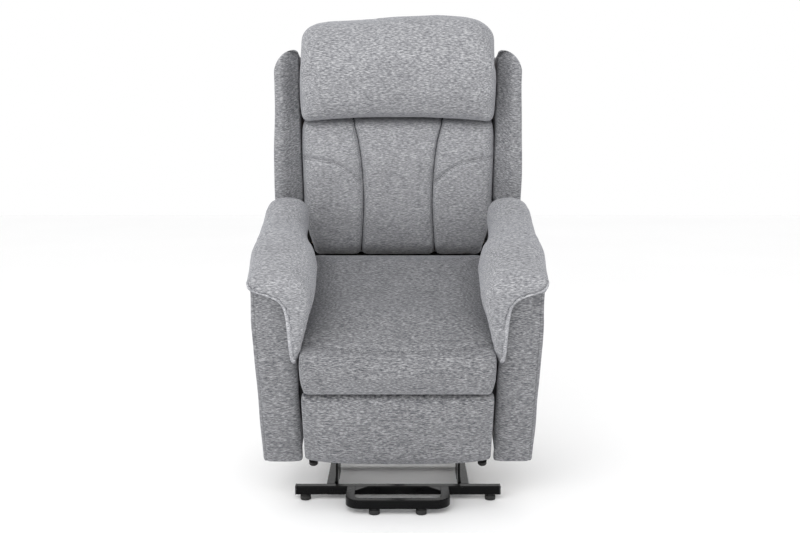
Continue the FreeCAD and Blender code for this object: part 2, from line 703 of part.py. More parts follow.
def seat_boards():
    boards = []
    for side, word in SIDES:
        x = spread(side, plate_in + steel, seat_half)
        boards.append(box(f"seat_side_{word}", x, (20, 545), (190, 336)))
    inner = plate_in + steel
    boards.append(box("seat_front_board", (-inner, inner), (20, 20 + board), (276, 336)))
    across = (-plate_in + 0.1, plate_in - 0.1)
    boards.append(box("seat_rear_board", across, (520, 520 + board), (205, 250)))
    boards.append(box("seat_rear_rail", (-inner, inner), (500, 518), (318, 336)))
    node("seat_frame", "chair", *boards)


def wave_spring(name, x, start, end, z, width, pitch, radius):
    """A sinuous wire spring along Y: straight runs across, joined by half circles."""
    bend = pitch / 2
    count = int((end - start) // pitch)
    edges = []
    y = start
    here = FreeCAD.Vector(x, y, z)
    side = 1
    for _ in range(count):
        there = FreeCAD.Vector(x + side * width, y, z)
        edges.append(Part.LineSegment(here, there).toShape())
        far = FreeCAD.Vector(there.x, y + pitch, z)
        crown = FreeCAD.Vector(there.x + side * bend, y + bend, z)
        edges.append(Part.Arc(there, crown, far).toShape())
        y += pitch
        here = far
        side = -side
    edges.append(Part.LineSegment(here, FreeCAD.Vector(x, y, z)).toShape())
    path = Part.Wire(edges)
    circle = Part.Circle(FreeCAD.Vector(x, start, z), FreeCAD.Vector(1, 0, 0), radius)
    ring = Part.Wire([circle.toShape()])
    piece = doc.addObject("Part::Feature", name)
    piece.Shape = path.makePipeShell([ring], True, True)
    return piece


def seat_springs():
    springs = []
    for number, x in enumerate((-180, -60, 60, 180)):
        springs.append(wave_spring(f"seat_spring{number}", x, 44.0, 500.0, 330.0, 20.0, 26.0, 1.9))
    node("seat_springs", "chair", *springs)


def seat_cushion():
    outline = [(seat_front, seat_low), (seat_front, seat_top_front), (seat_rear, seat_top_rear),
               (seat_rear, seat_low)]
    node("seat_cushion", "chair", profile("seat_block", outline, -seat_half, seat_half * 2, 24.0))


# ---------------------------------------------------------------- arms

def arms():
    for side, word in SIDES:
        frame_x = spread(side, arm_in + 34, arm_in + 64)
        posts = [
            box(f"arm_post_front_{word}", frame_x, (24, 54), (arm_low + 3, arm_top - 6)),
            box(f"arm_post_rear_{word}", frame_x, (400, 430), (arm_low + 33, arm_top - 36)),
            box(f"arm_rail_low_{word}", frame_x, (54, 540), (arm_low + 3, arm_low + 33)),
            box(f"arm_rail_top_{word}", frame_x, (54, 430), (arm_top - 36, arm_top - 6)),
        ]
        node(f"arm_frame_{word}", "chair", *posts)

        front = box(f"arm_front_{word}", spread(side, arm_in, arm_out), (0, 22), (arm_low, arm_top))
        front = soften(f"arm_front_soft_{word}", front, 7.0)
        outline = [(22.2, arm_low), (22.2, arm_top), (pad_end, arm_top), (500, 250), (555, 212),
                   (555, arm_low)]
        outer = profile(f"arm_outer_{word}", outline, mirrored(side, arm_side - 16, 16), 16, 5.0)
        inner = profile(f"arm_inner_{word}", outline, mirrored(side, arm_in, 16), 16, 5.0)
        gap = spread(side, arm_in + 16.2, arm_side - 16.2)
        rear = box(f"arm_rear_{word}", gap, (543, 555), (arm_low, 212))
        top_rear = [(pad_end - 12, arm_top), (pad_end, arm_top), (500, 250), (488, 250)]
        inside = arm_side - arm_in - 32.4
        slope = profile(f"arm_slope_{word}", top_rear, mirrored(side, arm_in + 16.2, inside), inside)
        node(f"arm_panel_{word}", "chair", front, outer, inner, rear, slope)

        top = [(-18, arm_top + 0.4), (-18, pad_front - 14), (8, pad_front), (pad_end, pad_rear),
               (pad_end, arm_top + 0.4)]
        width = arm_out + 3 - pad_in
        cap = profile(f"arm_pad_top_{word}", top, mirrored(side, pad_in, width), width, 14.0)
        pad_up = arm_top + 20
        bib = box(f"arm_bib_{word}", spread(side, arm_in + 1, arm_in + 26), (-15, -0.4), (436, pad_up))
        flap = box(f"arm_flap_{word}", spread(side, arm_in - 22, arm_in + 2), (-14, -0.4), (492, pad_up))
        inward = spread(side, pad_in, arm_in - 0.2)
        roll = box(f"arm_roll_{word}", inward, (-14, pad_end - 1), (535, pad_up))
        roll = soften(f"arm_roll_soft_{word}", roll, 9.0)
        node(f"arm_pad_{word}", "chair", fuse(f"arm_pad_whole_{word}", cap, bib, flap, roll))


# ---------------------------------------------------------------- footrest

knee = (knee_y, knee_z)
swing = (swing_y, swing_z)
panel_joint = (panel_y, panel_z)


def between(first, second):
    """Length and heading from one point to another."""
    dy = second[0] - first[0]
    dz = second[1] - first[1]
    return square_root(dy * dy + dz * dz), heading(dy, dz)


def footrest_links():
    hole = small_pin_r + play
    reach, turn = between(swing, knee)
    mains = []
    twins = []
    couplers = []
    fronts = []
    front_reach, front_turn = between(knee, panel_joint)
    twin_knee = (knee_y + twin_y, knee_z + twin_z)
    twin_swing = (swing_y + twin_y, swing_z + twin_z)
    coupler_reach, coupler_turn = between(knee, twin_knee)
    for side, word in SIDES:
        flat = bar(f"foot_main_{word}_bar", swing, reach, turn, mirrored(side, 232.2, 4.5), 4.5, 10)
        mains.append(fuse(
            f"foot_main_{word}", flat,
            pivot_pin(f"foot_main_{word}_pin", side, 236, 242.9, swing, small_pin_r),
            pivot_pin(f"foot_main_{word}_knee", side, 219.6, 233, knee, small_pin_r)))
        flat = bar(f"foot_twin_{word}_bar", twin_swing, reach, turn, mirrored(side, 232.2, 4.5), 4.5, 9)
        twins.append(fuse(
            f"foot_twin_{word}", flat,
            pivot_pin(f"foot_twin_{word}_pin", side, 236, 242.9, twin_swing, small_pin_r),
            pivot_pin(f"foot_twin_{word}_knee", side, 226, 233, twin_knee, small_pin_r)))
        couplers.append(bar(f"foot_coupler_{word}", knee, coupler_reach, coupler_turn,
                            mirrored(side, 226.8, 4.5), 4.5, 10, holes=((0, hole), (coupler_reach, hole))))
        flat = bar(f"foot_front_{word}_bar", knee, front_reach, front_turn,
                   mirrored(side, 221.2, 4.5), 4.5, 10, holes=((0, hole),))
        fronts.append(fuse(
            f"foot_front_{word}", flat,
            pivot_pin(f"foot_front_{word}_pin", side, 213.6, 222, panel_joint, small_pin_r)))
    skin = rod("drive_skin", "x", (-232.5, swing_y, swing_z), 465, 10)
    hollow = rod("drive_hollow", "x", (-231, swing_y, swing_z), 462, 8)
    node("footrest_main_links", "chair", fuse("drive_welded", cut("drive_tube", skin, hollow), *mains))
    node("footrest_control_links", "chair", *twins)
    node("footrest_couplers", "chair", *couplers)
    node("footrest_front_links", "chair", *fronts)


def footrest_panel():
    hole = small_pin_r + play
    plates = []
    for side, word in SIDES:
        x = mirrored(side, 215.6, 4.5)
        outline = [(5, 150), (5, 280), (10, 280), (panel_y + 10, panel_z + 10),
                   (panel_y + 10, panel_z - 10), (14, 150)]
        plate = profile(f"foot_bracket_{word}_blank", outline, x, 4.5, 2.5, along_only=True)
        bore = rod(f"foot_bracket_{word}_bore", "x", (x - 1, panel_y, panel_z), 7, hole)
        plates.append(cut(f"foot_bracket_{word}", plate, bore))
    node("footrest_brackets", "chair", *plates)
    inner = seat_half - 14
    board = box("foot_board", (-inner, inner), (-7, 5), (foot_low + 12, foot_high - 10))
    node("footrest_board", "chair", soften("foot_board_soft", board, 2.0))
    outline = [(-50, foot_low), (-50, foot_high), (-7.2, foot_high), (-7.2, foot_low)]
    node("footrest_pad", "chair", profile("foot_pad", outline, -seat_half, seat_half * 2, 14.0))


# ---------------------------------------------------------------- back

def back_frame():
    boards = []
    for side, word in SIDES:
        x = spread(side, 232, seat_half)
        boards.append(box(f"back_post_{word}", x, (-12, 33), (45, shell_top)))
    for number, (low, half) in enumerate(((50, 225.9), (400, 232), (685, 232))):
        boards.append(box(f"back_rail{number}", (-half, half), (-4, 25), (low, low + 45)))
    node("back_frame", "back", *boards)


def back_hinges():
    """Plates on the back's posts that turn on the rear of the mechanism plates."""
    plates = []
    for side, word in SIDES:
        x = mirrored(side, 226, 6)
        outline = [(-13, -10), (0, -16), (13, -10), (22, 60), (22, 150), (-10, 150), (-10, 60)]
        plate = profile(f"back_hinge_{word}_plate", outline, x, 6, 4.0, along_only=True)
        pin = pivot_pin(f"back_hinge_{word}_pin", side, 231, 243.6, (0, 0), pin_r)
        plates.append(fuse(f"back_hinge_{word}", plate, pin))
    node("back_hinge_plates", "back", *plates)


def back_webbing():
    """Elastic belts across the back's posts, in front of its rails."""
    belts = []
    for number in range(7):
        low = 150 + number * 85
        belts.append(box(f"belt{number}", (-232, 232), (-9, -6.5), (low, low + 50)))
    node("back_webbing", "back", *belts)


def back_shell():
    """The outside back with its two wings, a padded shell around the frame."""
    rear = box("shell_rear", (-wing_half, wing_half), (38, back_rear), (0, shell_top))
    outline = [(-45, 4), (-45, wing_low), (-wing_front, wing_low + 32), (-wing_front + 2, 500),
               (-92, wing_top - 40), (-66, wing_top), (-20, wing_top - 10), (50, shell_top + 8), (50, 4)]
    sides = []
    for side, word in SIDES:
        thick = wing_half - wing_in
        sides.append(profile(f"wing_{word}", outline, mirrored(side, wing_in, thick), thick, 6.0,
                             along_only=True))
    whole = fuse("shell_blank", rear, *sides)

    def outer_edges(edge):
        box_ = edge.BoundBox
        upright = box_.XLength < 0.01 and abs(abs(box_.XMin) - wing_half.value) < 0.01
        return upright and box_.YMin > back_rear.value - 1

    node("back_shell", "back", soften("shell", whole, 20.0, outer_edges))


def back_cushions():
    lower = [(-62, cushion_low), (-88, 190), (-110, 300), (-110, 480), (-94, cushion_top - 2),
             (-15, cushion_top - 2), (-15, cushion_low)]
    node("back_cushion", "back", profile("back_block", lower, -cushion_half, cushion_half * 2, 16.0))
    upper = [(-118, cushion_top + 5), (-150, 690), (-128, 840), (-62, pillow_top), (8, pillow_top - 12),
             (54, 830), (62, shell_top + 13), (-15, shell_top + 13), (-15, cushion_top + 5)]
    node("head_pillow", "back", profile("pillow_block", upper, -pillow_half, pillow_half * 2, 14.0))


def back_actuator_mounts():
    """Clevis ears of the back actuator, on the chair's front tube and on the back's lower rail."""
    ears = []
    for side, word in SIDES:
        offset = back_motor_x + (14 if side > 0 else -19)
        outline = [(front_tube_y - 16, front_tube_z - 4), (front_tube_y + 8, front_tube_z + 16),
                   (back_motor_y + 13, back_motor_z + 8), (back_motor_y + 12, back_motor_z - 12),
                   (back_motor_y - 8, back_motor_z - 14)]
        ear = profile(f"chair_ear_{word}_plate", outline, offset, 5, 3.0, along_only=True)
        bores = [
            rod(f"chair_ear_{word}_tube", "x", (offset - 1, front_tube_y, front_tube_z), 7, 12.55),
            rod(f"chair_ear_{word}_pin", "x", (offset - 1, back_motor_y, back_motor_z), 7, pin_r + 0.01),
        ]
        ears.append(cut(f"chair_ear_{word}", ear, *bores))
    pin = rod("chair_ear_pin", "x", (back_motor_x - 22, back_motor_y, back_motor_z), 44, pin_r)
    node("back_actuator_bracket", "chair", *ears, pin)
    dy = back_pin_y - hinge_y
    dz = back_pin_z - hinge_z
    out = dy * cos(back_lean) - dz * sin(back_lean)
    up = dy * sin(back_lean) + dz * cos(back_lean)
    ears = []
    for side, word in SIDES:
        offset = back_motor_x + (11 if side > 0 else -16)
        outline = [(out - 10, up - 12), (out - 12, up + 9), (-4, up + 22), (-4, up - 18)]
        ears.append(profile(f"back_ear_{word}_plate", outline, offset, 5, 2.0, along_only=True))
    node("back_actuator_ears", "back", *ears)


# ---------------------------------------------------------------- electrics, pocket, handset

def power_box():
    """Control box under the seat, with the mains inlet in its rear face."""
    case = soften("control_case", box("control_block", (-150, -60), (395, 455), (205, 250)), 4.0)
    inlet = box("inlet_block", (-120, -92), (450, 460), (216, 238))
    socket = box("inlet_hole", (-116, -96), (453, 462), (220, 234))
    node("control_box", "chair", cut("control_whole", fuse("control_joined", case, inlet), socket))


def pocket():
    """A flat fabric pocket on the outside of one arm, open at the top."""
    outer = box("pocket_outer", (-388, -arm_side - 0.2), (250, 400), (283, 428))
    hollow = box("pocket_hollow", (-386.4, -arm_side - 1.8), (256, 394), (286, 429))
    node("side_pocket", "chair", cut("pocket_bag", outer, hollow))


def handset():
    """A slim handset in the pocket, with four keys on its outer face."""
    front = -385.9
    rear = -arm_side - 2.1
    low = (300, 350)
    case = box("handset_block", (front, rear), low, (313, 473))
    case = soften("handset_soft", case, 3.5)
    wells = []
    keys = []
    spots = (("back_up", 314, 460), ("back_down", 336, 460), ("lift_up", 314, 441), ("lift_down", 336, 441))
    for word, y, z in spots:
        wells.append(rod(f"well_{word}", "x", (front - 1, y, z), 5, 6.5))
        key = rod(f"key_{word}", "x", (front - 1.2, y, z), 3.4, 6.2)
        keys.append((word, soften(f"key_soft_{word}", key, 0.5)))
    node("handset", "chair", cut("handset_case", case, *wells))
    for word, key in keys:
        node(f"button_{word}", "chair", key)


# ---------------------------------------------------------------- build, check, write

def build():
    base_frame()
    base_loop()
    base_gussets()
    base_feet()
    end_caps()
    base_brackets()
    lift_arms()
    rear_links()
    actuator("lift_actuator", "base", (motor_y, motor_z), lever_pin, 0.0, (60, 250), 175, 1)
    chair_tubes()
    lift_plates()
    side_plates()
    stops()
    seat_boards()
    seat_springs()
    seat_cushion()
    arms()
    footrest_links()
    footrest_panel()
    back_frame()
    back_hinges()
    back_webbing()
    back_shell()
    back_cushions()
    actuator("back_actuator", "chair", (back_motor_y, back_motor_z), (back_pin_y, back_pin_z),
             back_motor_x, (60, 275), 120, -1)
    back_actuator_mounts()
    power_box()
    pocket()
    handset()
    doc.recompute()


def check():
    problems = [f"{o.Name}: {o.State}" for o in doc.Objects if {"Invalid", "Error"} & set(o.State)]
    for whole in NODES:
        if whole.Shape.isNull() or not whole.Shape.isValid() or not whole.Shape.Solids:
            problems.append(f"{whole.Label}: bad shape")
    if problems:
        raise RuntimeError("; ".join(problems))


def write():
    os.makedirs("parts", exist_ok=True)
    for whole in NODES:
        whole.Shape.exportStep(f"parts/{whole.Label}.step")
    print(len(NODES), "nodes written")


build()
check()
write()
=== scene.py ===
"""Looks for the lift recliner: padded pieces, seams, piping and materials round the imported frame."""

import math

import bmesh
import bpy
import numpy as np
from mathutils import Matrix, Vector
from mathutils.bvhtree import BVHTree
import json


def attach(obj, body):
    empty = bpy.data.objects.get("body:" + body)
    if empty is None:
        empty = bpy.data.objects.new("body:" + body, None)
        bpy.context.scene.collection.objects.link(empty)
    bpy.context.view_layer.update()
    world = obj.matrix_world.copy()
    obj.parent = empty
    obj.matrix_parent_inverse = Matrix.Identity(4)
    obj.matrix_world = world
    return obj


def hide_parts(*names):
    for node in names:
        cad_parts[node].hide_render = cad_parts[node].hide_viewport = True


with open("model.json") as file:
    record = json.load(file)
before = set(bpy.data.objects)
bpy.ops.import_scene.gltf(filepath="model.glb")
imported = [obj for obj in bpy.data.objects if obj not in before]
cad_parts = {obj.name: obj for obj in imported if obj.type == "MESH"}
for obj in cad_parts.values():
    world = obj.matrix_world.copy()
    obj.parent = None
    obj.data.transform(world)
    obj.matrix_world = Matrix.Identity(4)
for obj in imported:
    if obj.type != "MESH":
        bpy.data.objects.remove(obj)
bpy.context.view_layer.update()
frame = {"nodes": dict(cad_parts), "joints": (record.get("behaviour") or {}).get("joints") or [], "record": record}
JOINTS = {joint["name"]: joint for joint in frame["joints"]}

# ---------------------------------------------------------------- frames

# The chair is drawn in its own frame: y back from the arms' fronts, z up from the lowered floor.
# The back has its own too: y rearwards from the recline pivot, z up along the back.
HINGE = (0.560, 0.240)
BACK_LEAN = math.radians(8.6)
slide_out = JOINTS["handset_lift_out"]["axis"]
TILT = math.atan2(-slide_out[1], slide_out[2])
pivot = Vector(JOINTS["recline"]["pos_m"])
TO_CHAIR = Matrix.Translation((0, -HINGE[0], -HINGE[1]))
CHAIR = Matrix.Translation(pivot) @ Matrix.Rotation(TILT, 4, "X") @ TO_CHAIR
BACK = Matrix.Translation(pivot) @ Matrix.Rotation(TILT - BACK_LEAN, 4, "X")
SIDES = ((-1, "left"), (1, "right"))
REARWARD = (0, 1, 0)
DOWN_BACK = (0, 0.6, -1)
VOXEL = 0.006
THREAD_LIFT = 0.0002
# The two rows of a double stitch, from the line between them.
DOUBLE = (-0.0035, 0.0035)

# ---------------------------------------------------------------- mesh tools


def made(name, mesh, place):
    """An object for a bmesh drawn in a local frame."""
    data = bpy.data.meshes.new(name)
    mesh.to_mesh(data)
    mesh.free()
    data.shade_smooth()
    piece = bpy.data.objects.new(name, data)
    bpy.context.scene.collection.objects.link(piece)
    piece.matrix_world = place
    return piece


def prism(mesh, outline, low, high, axis="x", edge=0.0):
    """Adds a closed block: an outline in the other two axes, run from low to high along x or y."""
    place = {"x": lambda a, b, t: (t, a, b), "y": lambda a, b, t: (a, t, b)}[axis]
    rings = [[mesh.verts.new(place(a, b, t)) for a, b in outline] for t in (low, high)]
    faces = [mesh.faces.new(rings[0]), mesh.faces.new(rings[1][::-1])]
    for i in range(len(outline)):
        faces.append(mesh.faces.new((rings[0][i], rings[0][i - 1], rings[1][i - 1], rings[1][i])))
    bmesh.ops.recalc_face_normals(mesh, faces=faces)
    if edge:
        edges = list({e for f in faces for e in f.edges})
        bmesh.ops.bevel(mesh, geom=edges, offset=edge, segments=4, profile=0.5, affect="EDGES")


def closed_curve(controls, count):
    """count points, evenly spaced, on a smooth closed line through the controls."""
    ring = through([*controls[-2:], *controls, *controls[:3]], 0.002)
    first = int(np.linalg.norm(ring - controls[0], axis=1)[:len(ring) // 2].argmin())
    last = len(ring) // 2 + int(np.linalg.norm(ring - controls[0], axis=1)[len(ring) // 2:].argmin())
    ring = ring[first:last + 1]
    run = np.concatenate(([0], np.cumsum(np.linalg.norm(np.diff(ring, axis=0), axis=1))))
    at = np.linspace(0, run[-1], count, endpoint=False)
    return np.stack([np.interp(at, run, ring[:, k]) for k in range(ring.shape[1])], 1)


def loft(mesh, stations, rings=60):
    """Adds a closed skin over sections: each station is a place along y and its (x, z) outline."""
    where = np.array([y for y, _ in stations])
    sections = np.array([outline for _, outline in stations])
    fine = [np.linspace(a, b, max(2, int(rings * (b - a) / (where[-1] - where[0]))), endpoint=False)
            for a, b in zip(where, where[1:])]
    fine = np.concatenate([*fine, where[-1:]])
    skin = []
    for y in fine:
        outline = [(np.interp(y, where, sections[:, k, 0]), np.interp(y, where, sections[:, k, 1]))
                   for k in range(sections.shape[1])]
        skin.append([mesh.verts.new((x, y, z)) for x, z in outline])
    for one, two in zip(skin, skin[1:]):
        for k in range(len(one)):
            mesh.faces.new((one[k - 1], one[k], two[k], two[k - 1]))
    mesh.faces.new(skin[0][::-1])
    mesh.faces.new(skin[-1])
    bmesh.ops.recalc_face_normals(mesh, faces=mesh.faces)


def settle(piece):
    """Applies the piece's modifiers to its mesh."""
    bpy.context.view_layer.update()
    graph = bpy.context.evaluated_depsgraph_get()
    data = bpy.data.meshes.new_from_object(piece.evaluated_get(graph))
    old = piece.data
    piece.modifiers.clear()
    piece.data = data
    data.shade_smooth()
    bpy.data.meshes.remove(old)


def voxels(piece, size):
    """Remeshes the piece into even quads, joining what overlaps."""
    remesh = piece.modifiers.new("voxels", "REMESH")
    remesh.mode = "VOXEL"
    remesh.voxel_size = size
    settle(piece)


def subdivide(piece):
    """One more level of detail, smoothed."""
    piece.modifiers.new("finer", "SUBSURF").levels = 1
    settle(piece)


def smooth(piece, rounds):
    """Relaxes the mesh so that remeshed steps and hard corners go."""
    relax = piece.modifiers.new("relax", "SMOOTH")
    relax.iterations = rounds
    relax.factor = 0.5
    settle(piece)


def points(piece):
    data = np.empty(len(piece.data.vertices) * 3)
    piece.data.vertices.foreach_get("co", data)
    return data.reshape(-1, 3)


def set_points(piece, where):
    piece.data.vertices.foreach_set("co", np.ascontiguousarray(where).ravel())
    piece.data.update()


def normals(piece):
    data = np.empty(len(piece.data.vertices) * 3, np.float32)
    piece.data.vertices.foreach_get("normal", data)
    return data.reshape(-1, 3).astype(float)


def ease(values, low, high):
    """0 below low, 1 above high, and a smooth step between."""
    t = np.clip((values - low) / (high - low), 0, 1)
    return t * t * (3 - 2 * t)


def through(controls, spacing=0.004):
    """Points every few millimetres on a smooth line through the controls."""
    c = np.array(controls, float)
    ends = [2 * c[0] - c[1], *c, 2 * c[-1] - c[-2]]
    line = []
    for a, b, d, e in zip(ends, ends[1:], ends[2:], ends[3:]):
        steps = max(2, int(np.linalg.norm(d - b) / spacing))
        for t in np.arange(steps) / steps:
            line.append(0.5 * (2 * b + (d - a) * t + (2 * a - 5 * b + 4 * d - e) * t**2
                               + (3 * b - a - 3 * d + e) * t**3))
    return np.array([*line, c[-1]])


def on_surface(piece, line, toward=None, lift=0.0):
    """The line laid onto the piece: straight along toward, or to the nearest place."""
    data = piece.data
    tree = BVHTree.FromPolygons([v.co for v in data.vertices], [p.vertices for p in data.polygons])
    laid = []
    for spot in line:
        hit = None
        if toward is not None:
            step = Vector(toward).normalized()
            hit = tree.ray_cast(Vector(spot) - step * 0.15, step)
        if hit is None or hit[0] is None:
            hit = tree.find_nearest(Vector(spot))
        laid.append(hit[0] + hit[1] * lift)
    return np.array(laid)


def distance(where, line):
    """How far each point is from a line of points, and the nearest place on it."""
    best = np.full(len(where), 1e9)
    index = np.zeros(len(where), int)
    for first in range(0, len(where), 20000):
        part = where[first:first + 20000]
        apart = np.linalg.norm(part[:, None, :] - line[None, :, :], axis=2)
        index[first:first + 20000] = apart.argmin(1)
        best[first:first + 20000] = apart.min(1)
    return best, index


def press(piece, line, depth, width):
    """Presses a rounded groove into the surface along a line that lies on it."""
    where = points(piece)
    apart, _ = distance(where, line)
    near = apart < width * 3
    push = depth * np.exp(-(apart[near] / width) ** 2)
    where[near] -= normals(piece)[near] * push[:, None]
    set_points(piece, where)


def hum(where, size, seed):
    """Smooth bumps from -1 to 1, made of a few crossing waves; the seed picks them."""
    pick = np.random.default_rng(seed)
    total = np.zeros(len(where))
    for _ in range(7):
        way = pick.normal(size=3)
        way *= 2 * math.pi / (size * pick.uniform(0.7, 1.5)) / np.linalg.norm(way)
        total += np.sin(where @ way + pick.uniform(0, 2 * math.pi))
    return total / 4


FILL_FRAMES = 20
PRESSURE = 6.0
STIFF = 15.0
# The mean swelling as a share of the cap, and how much of the simulation's unevenness is kept.
MEAN_SWELL = 0.35
UNEVEN = 0.5


def inflate(piece, cap, pinned):
    """Fills the piece by a cloth simulation under pressure; its mean swelling is a share of cap."""
    start = points(piece)
    scene = bpy.context.scene
    cloth = piece.modifiers.new("fill", "CLOTH")
    how = cloth.settings
    how.quality = 4
    how.mass = 0.3
    how.tension_stiffness = STIFF
    how.compression_stiffness = STIFF
    how.shear_stiffness = STIFF / 3
    how.bending_stiffness = 0.8
    how.use_pressure = True
    how.uniform_pressure_force = PRESSURE
    how.effector_weights.gravity = 0
    cloth.collision_settings.use_collision = False
    group = piece.vertex_groups.new(name="pinned")
    group.add([int(i) for i in np.flatnonzero(pinned)], 1.0, "REPLACE")
    how.vertex_group_mass = "pinned"
    cloth.point_cache.frame_start = 1
    cloth.point_cache.frame_end = FILL_FRAMES
    for number in range(1, FILL_FRAMES + 1):
        scene.frame_set(number)
    graph = bpy.context.evaluated_depsgraph_get()
    filled = piece.evaluated_get(graph)
    data = filled.to_mesh()
    where = np.empty(len(data.vertices) * 3)
    data.vertices.foreach_get("co", where)
    filled.to_mesh_clear()
    piece.modifiers.clear()
    piece.vertex_groups.clear()
    facing = normals(piece)
    free = ~np.asarray(pinned)
    swell = np.sum((where.reshape(-1, 3) - start) * facing, axis=1)
    swell = np.clip(cap * MEAN_SWELL + UNEVEN * (swell - swell[free].mean()), 0.0, cap) * free
    set_points(piece, start + facing * swell[:, None])
    smooth(piece, 3)
    scene.frame_set(1)


def keep_inside(piece, low, high, soft=0.004):
    """Holds the piece between low and high on each axis, where it rests on its neighbours."""
    where = points(piece)
    for axis in range(3):
        for limit, sign in ((low[axis], -1), (high[axis], 1)):
            if limit is None:
                continue
            over = sign * (where[:, axis] - limit) + soft
            out = over > 0
            where[out, axis] = limit + sign * (-soft + soft * np.tanh(over[out] / soft))
    set_points(piece, where)


def tube(name, line, radius, place, sides=8):
    """A round bead along a line, with closed ends; radius is one number or one for each point."""
    line = np.asarray(line)
    radii = np.broadcast_to(radius, len(line))
    ahead = np.gradient(line, axis=0)
    ahead /= np.maximum(np.linalg.norm(ahead, axis=1), 1e-9)[:, None]
    mesh = bmesh.new()
    across = Vector((0.31, 0.52, 0.79))
    rings = []
    for number, (spot, way) in enumerate(zip(line, ahead)):
        way = Vector(way)
        across = (across - way * across.dot(way)).normalized()
        up = way.cross(across)
        tip = 0.6 if number in (0, len(line) - 1) else 1.0
        grown = radii[number] * tip
        rings.append([mesh.verts.new(Vector(spot) + (across * math.cos(a) + up * math.sin(a)) * grown)
                      for a in (2 * math.pi * k / sides for k in range(sides))])
    for one, two in zip(rings, rings[1:]):
        for k in range(sides):
            mesh.faces.new((one[k - 1], one[k], two[k], two[k - 1]))
    mesh.faces.new(rings[0][::-1])
    mesh.faces.new(rings[-1])
    bmesh.ops.recalc_face_normals(mesh, faces=mesh.faces)
    return made(name, mesh, place)


STITCH = 0.0042
STITCH_GAP = 0.0016
THREAD = 0.0006
THREAD_SIDES = 5


def stitches(name, line, place):
    """A row of short threads lying along a line."""
    turns = [math.tau * k / THREAD_SIDES for k in range(THREAD_SIDES)]
    run = np.concatenate(([0], np.cumsum(np.linalg.norm(np.diff(line, axis=0), axis=1))))
    mesh = bmesh.new()
    start = STITCH_GAP
    while start + STITCH < run[-1]:
        spots = [Vector([np.interp(start + t * STITCH, run, line[:, k]) for k in range(3)])
                 for t in (0, 0.5, 1)]
        way = (spots[2] - spots[0]).normalized()
        side = way.orthogonal().normalized() * THREAD
        up = way.cross(side)
        rings = [[mesh.verts.new(spot + (side * math.cos(a) + up * math.sin(a)) * grown) for a in turns]
                 for spot, grown in zip(spots, (0.5, 1.0, 0.5))]
        for one, two in zip(rings, rings[1:]):
            for k in range(THREAD_SIDES):
                mesh.faces.new((one[k - 1], one[k], two[k], two[k - 1]))
        mesh.faces.new(rings[0][::-1])
        mesh.faces.new(rings[-1])
        start += STITCH + STITCH_GAP
    bmesh.ops.recalc_face_normals(mesh, faces=mesh.faces)
    return made(name, mesh, place)


# ---------------------------------------------------------------- materials


class Look:
    """Builds one procedural material."""

    def __init__(self, name, **values):
        self.material = bpy.data.materials.new(name)
        self.material.use_nodes = True
        self.tree = self.material.node_tree
        self.tree.nodes.clear()
        end = self.tree.nodes.new("ShaderNodeOutputMaterial")
        self.surface = self.add("BsdfPrincipled", values)
        self.tree.links.new(self.surface.outputs["BSDF"], end.inputs["Surface"])
        self.where = self.add("TexCoord")

    def add(self, kind, values=None, **settings):
        """A node; a value is a number, a colour, or (node, output) to link."""
        node = self.tree.nodes.new("ShaderNode" + kind)
        for key, value in settings.items():
            setattr(node, key, value)
        self.set(node, values or {})
        return node

    def set(self, node, values):
        for key, value in values.items():
            socket = node.inputs[key.replace("_", " ") if isinstance(key, str) else key]
            if isinstance(value, tuple) and isinstance(value[0], bpy.types.Node):
                self.tree.links.new(value[0].outputs[value[1]], socket)
            else:
                socket.default_value = value

    def noise(self, scale, detail=2.0, rough=0.5, stretch=(1, 1, 1)):
        spot = self.add("Mapping", {"Vector": (self.where, "Object"), "Scale": stretch})
        return self.add("TexNoise", {"Vector": (spot, "Vector"), "Scale": scale, "Detail": detail,
                                     "Roughness": rough})

    def ramp(self, source, stops):
        """A colour ramp over source, from (place, grey or colour) stops."""
        node = self.add("ValToRGB", {"Fac": source})
        marks = node.color_ramp.elements
        while len(marks) < len(stops):
            marks.new(0.5)
        for mark, (spot, colour) in zip(marks, stops):
            mark.position = spot
            mark.color = (colour, colour, colour, 1) if isinstance(colour, float) else (*colour, 1)
        return node

    def scaled(self, source, low, high):
        """source, from 0..1, brought to low..high."""
        return self.add("MapRange", {"Value": source, "To Min": low, "To Max": high})

    def bump(self, height, strength, size, before=None):
        values = {"Height": height, "Strength": strength, "Distance": size}
        if before:
            values["Normal"] = (before, "Normal")
        return self.add("Bump", values)


# How the flecks are stretched: along the weft across the chair, or round its sides as well.
FLECK = {"x": (0.24, 1, 1), "sides": (0.24, 0.24, 1)}
MEAN_GREY = 0.26
GREYS = (0.135, 0.225, 0.285, 0.440)


